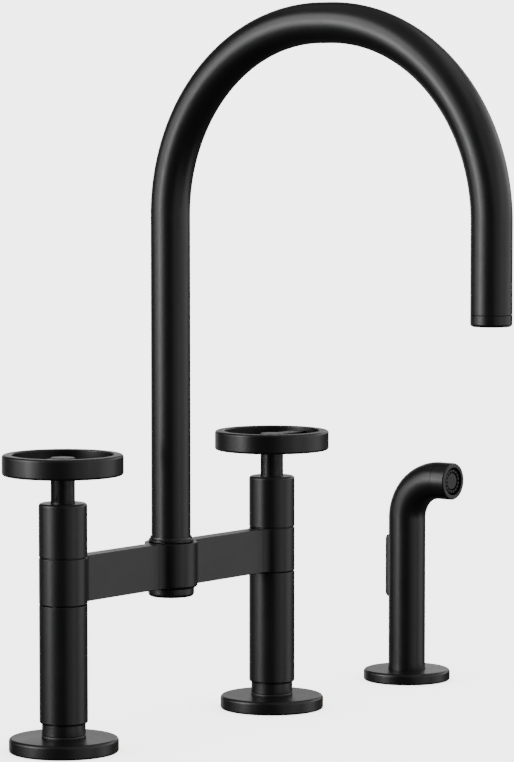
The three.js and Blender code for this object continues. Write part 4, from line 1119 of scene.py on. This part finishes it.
def spout_base_ring():
    """The ring at the column's foot, which sweeps in to a thin lip round the tube."""
    web_high = BASE_RING_LOW + BASE_RING_WEB
    band_high = BASE_RING_LOW + BASE_RING_BAND
    reach, rise = BASE_RING - BASE_RING_LIP, BASE_RING_HIGH - band_high
    steps = 10
    angles = [math.pi / 2 * k / steps for k in range(steps + 1)]
    sweep = [(BASE_RING_LIP + reach * (1 - math.sin(a)), band_high + rise * (1 - math.cos(a)))
             for a in angles]
    return turned([
        (HUB_BORE, BASE_RING_LOW), (BASE_RING, BASE_RING_LOW, SEAM_EDGE), *sweep,
        (TUBE + FIT, BASE_RING_HIGH), (TUBE + FIT, web_high), (HUB_BORE, web_high)])


def spout_tube():
    """The column, the arch with a short flat crown, and the drop to the tip."""
    crown_y, crown_z = -ARCH - ARCH_FLAT, ARCH_Z + ARCH
    tip_z = AERATOR_HIGH + AERATOR_SEAM
    path = one_after_another(
        straight((0, TUBE_LOW), (0, ARCH_Z), steps=8),
        arc((-ARCH, ARCH_Z), ARCH, 0, math.pi / 2, steps=64),
        straight((-ARCH, crown_z), (crown_y, crown_z), steps=2),
        arc((crown_y, ARCH_Z), ARCH, math.pi / 2, math.pi, steps=64),
        straight((TIP_Y, ARCH_Z), (TIP_Y, tip_z), steps=4))
    return swept(path, TUBE, TUBE_BORE, FINE_EDGE)


def aerator_housing(place):
    """The collar at the spout's tip, with the spigot that sits in the tube."""
    spigot = TUBE_BORE - FIT
    return turned([
        (AERATOR_BORE, AERATOR_LOW, FINE_EDGE), (TUBE, AERATOR_LOW, AERATOR_ROUND),
        (TUBE, AERATOR_HIGH, FINE_EDGE), (spigot, AERATOR_HIGH), (spigot, AERATOR_SPIGOT_HIGH),
        (AERATOR_THROAT, AERATOR_SPIGOT_HIGH), (AERATOR_THROAT, AERATOR_THROAT_LOW),
        (AERATOR_BORE, AERATOR_THROAT_LOW)], place=place)


def aerator_insert(place):
    """A cup whose floor is drilled with two rings of holes round a middle one."""
    size = radius("aerator_insert")
    low, high = span("aerator_insert")
    cup, floor_high = size - AERATOR_WALL, low + AERATOR_FLOOR
    body = turned([
        (0, low), (size, low, FINE_EDGE), (size, high, FINE_EDGE), (cup, high), (cup, floor_high),
        (0, floor_high)], place=place, closed=False)
    start, end = low - OVERRUN, high + OVERRUN
    holes = [rod(AERATOR_MIDDLE_HOLE, start, end, place=place, steps=HOLE_STEPS)]
    for count, circle, hole in AERATOR_HOLES:
        drill = rod(hole, start, end, steps=HOLE_STEPS)
        holes.append(drills(drill, count, circle, "up", place))
    return cut(body, *holes)


tip = (0, TIP_Y, 0)
coated(spout_base_ring(), "spout_base_ring")
coated(spout_tube(), "spout_tube")
coated(aerator_housing(tip), "aerator_housing")
moulded(aerator_insert(tip), "aerator_insert")


# ------------------------------------------------------------------ side spray

spray = (SPRAY_X, 0, 0)
head = (SPRAY_X, 0, HEAD_Z)


def spray_shell():
    """The handset's bent tube, with the window for its trigger and the hole for the pin."""
    path = one_after_another(
        straight((0, SPRAY_LOW), (0, SPRAY_STEM), steps=6),
        arc((-BEND, SPRAY_STEM), BEND, 0, math.pi / 2, steps=40))
    shell = swept(path, SPRAY, SPRAY_BORE, CLOSED_EDGE, spray)
    half = TRIGGER_HALF + TRIGGER_GAP
    corners = [(SPRAY_X - half, TRIGGER_IN / 2), (SPRAY_X + half, TRIGGER_IN / 2),
               (SPRAY_X + half, SPRAY + OVERRUN), (SPRAY_X - half, SPRAY + OVERRUN)]
    window = plate(corners, TRIGGER_LOW - TRIGGER_GAP, TRIGGER_HIGH + TRIGGER_GAP)
    return cut(shell, window, side_rod(PIN_HOLE, PIN_REACH, PIN_Y, PIN_Z, SPRAY_X))


def spray_trigger():
    """The paddle: drawn from the side, with softly rounded edges."""
    outline = rounded([
        (TRIGGER_IN, TRIGGER_LOW, TRIGGER_INNER_ROUND), (TRIGGER_OUT, TRIGGER_LOW, TRIGGER_ROUND),
        (TRIGGER_OUT, TRIGGER_HIGH, TRIGGER_ROUND), (TRIGGER_IN, TRIGGER_HIGH, TRIGGER_INNER_ROUND),
    ], closed=True)
    paddle = plate([tuple(p) for p in outline], SPRAY_X - TRIGGER_HALF, SPRAY_X + TRIGGER_HALF,
                   bevel=TRIGGER_EDGE, axis="side")
    return cut(paddle, side_rod(PIN_HOLE, 2 * TRIGGER_HALF, PIN_Y, PIN_Z, SPRAY_X))


def spray_head_ring():
    """The ring round the nozzle, whose spigot sits in the end of the bent tube."""
    shoulder, floor = HEAD_BACK + HEAD_SPIGOT, NOZZLE_BACK - SEAT
    spigot = SPRAY_BORE - FIT
    return turned([
        (HEAD_WATERWAY, HEAD_BACK), (spigot, HEAD_BACK), (spigot, shoulder),
        (SPRAY, shoulder, CLOSED_EDGE), (SPRAY, HEAD_FRONT, HEAD_ROUND),
        (HEAD_BORE, HEAD_FRONT, SOFT_EDGE), (HEAD_BORE, floor), (HEAD_WATERWAY, floor)],
        "front", head)


def spray_nozzle():
    """The nozzle: a ring of jets round a groove and a plain button."""
    flange, flange_front = HEAD_BORE - FIT, NOZZLE_BACK + NOZZLE_FLANGE
    groove_floor, button_face = NOZZLE_FACE - NOZZLE_GROOVE, NOZZLE_FACE - NOZZLE_EDGE
    face = turned([
        (0, NOZZLE_BACK), (flange, NOZZLE_BACK), (flange, flange_front), (NOZZLE, flange_front),
        (NOZZLE, NOZZLE_FACE, NOZZLE_EDGE), (NOZZLE_RING_INNER, NOZZLE_FACE, FINE_EDGE),
        (NOZZLE_RING_INNER, groove_floor), (NOZZLE_BUTTON, groove_floor),
        (NOZZLE_BUTTON, button_face, NOZZLE_EDGE), (0, button_face)], "front", head, closed=False)
    jet = rod(JET, groove_floor, NOZZLE_FACE + OVERRUN, steps=HOLE_STEPS)
    return cut(face, drills(jet, JETS, JET_CIRCLE, "front", head))


def spray_holder():
    """The threaded tube that clamps the socket to the deck."""
    root = HOLDER - THREAD_DEPTH
    tube = turned([
        (HOLDER_HOSE_BORE, HOLDER_LOW, FINE_EDGE), (root, HOLDER_LOW, SOFT_EDGE),
        (root, HOLDER_THREAD_HIGH), (HOLDER, HOLDER_THREAD_HIGH + HOLDER_FADE),
        (HOLDER, HOLDER_HIGH, SOFT_EDGE), (HOLDER_BORE, HOLDER_HIGH, FINE_EDGE),
        (HOLDER_BORE, HOLDER_FLOOR), (HOLDER_HOSE_BORE, HOLDER_FLOOR)], place=spray)
    ridge = thread(HOLDER, HOLDER_PITCH, HOLDER_LOW, HOLDER_THREAD_HIGH, HOLDER_ENDS, SPRAY_X)
    return together(tube, ridge)


def spray_inlet():
    """The handset's plug, with the thread that its hose screws on to."""
    plug, root = SPRAY_BORE - FIT, INLET - THREAD_DEPTH
    collar_low = INLET_SHOULDER - INLET_COLLAR
    thread_high = collar_low - INLET_FADE
    body = turned([
        (INLET_BORE, INLET_LOW, FINE_EDGE), (root, INLET_LOW, SOFT_EDGE), (root, thread_high),
        (INLET, collar_low), (INLET, INLET_SHOULDER), (plug, INLET_SHOULDER, SOFT_EDGE),
        (plug, INLET_HIGH, SOFT_EDGE), (INLET_BORE, INLET_HIGH)], place=spray)
    ridge = thread(INLET, INLET_PITCH, INLET_LOW, thread_high, INLET_ENDS, SPRAY_X)
    return together(body, ridge)


def spray_escutcheon():
    """The dish over the spray's deck hole: its hole for the holder ends under a web."""
    web_low = SPRAY_ESCUTCHEON_HIGH - SPRAY_ESCUTCHEON_WEB
    holder_hole = [(LINER_BORE, web_low), (HOLDER + FIT, web_low),
                   (HOLDER + FIT, GASKET_HIGH + FIT)]
    return escutcheon("spray_escutcheon", holder_hole, LINER_BORE, SOFT_EDGE, spray)


coated(spray_escutcheon(), "spray_escutcheon")
coated(spray_shell(), "spray_body")
coated(spray_trigger(), "spray_trigger")
coated(spray_head_ring(), "spray_head_ring")
moulded(spray_nozzle(), "spray_nozzle")
in_rubber(washer("spray_gasket", SPRAY_GASKET_BORE, spray), "spray_gasket")
steel(washer("spray_deck_washer", HOLDER + FIT, spray), "spray_deck_washer")
in_brass(lock_nut("spray_lock_nut", HOLDER + FIT, spray), "spray_lock_nut")
in_brass(spray_holder(), "spray_holder")
in_brass(spray_inlet(), "spray_inlet")


# ------------------------------------------------------------------ what stays as the CAD made it

# A CAD node that no finer piece replaces gets the material of its slot.
slots = {row["node"]: row["material_slot"] for row in frame["record"]["subparts"]}
for node, item in frame["nodes"].items():
    if item.hide_render:
        continue
    item.data.materials.clear()
    item.data.materials.append(FINISHES[slots[node]])
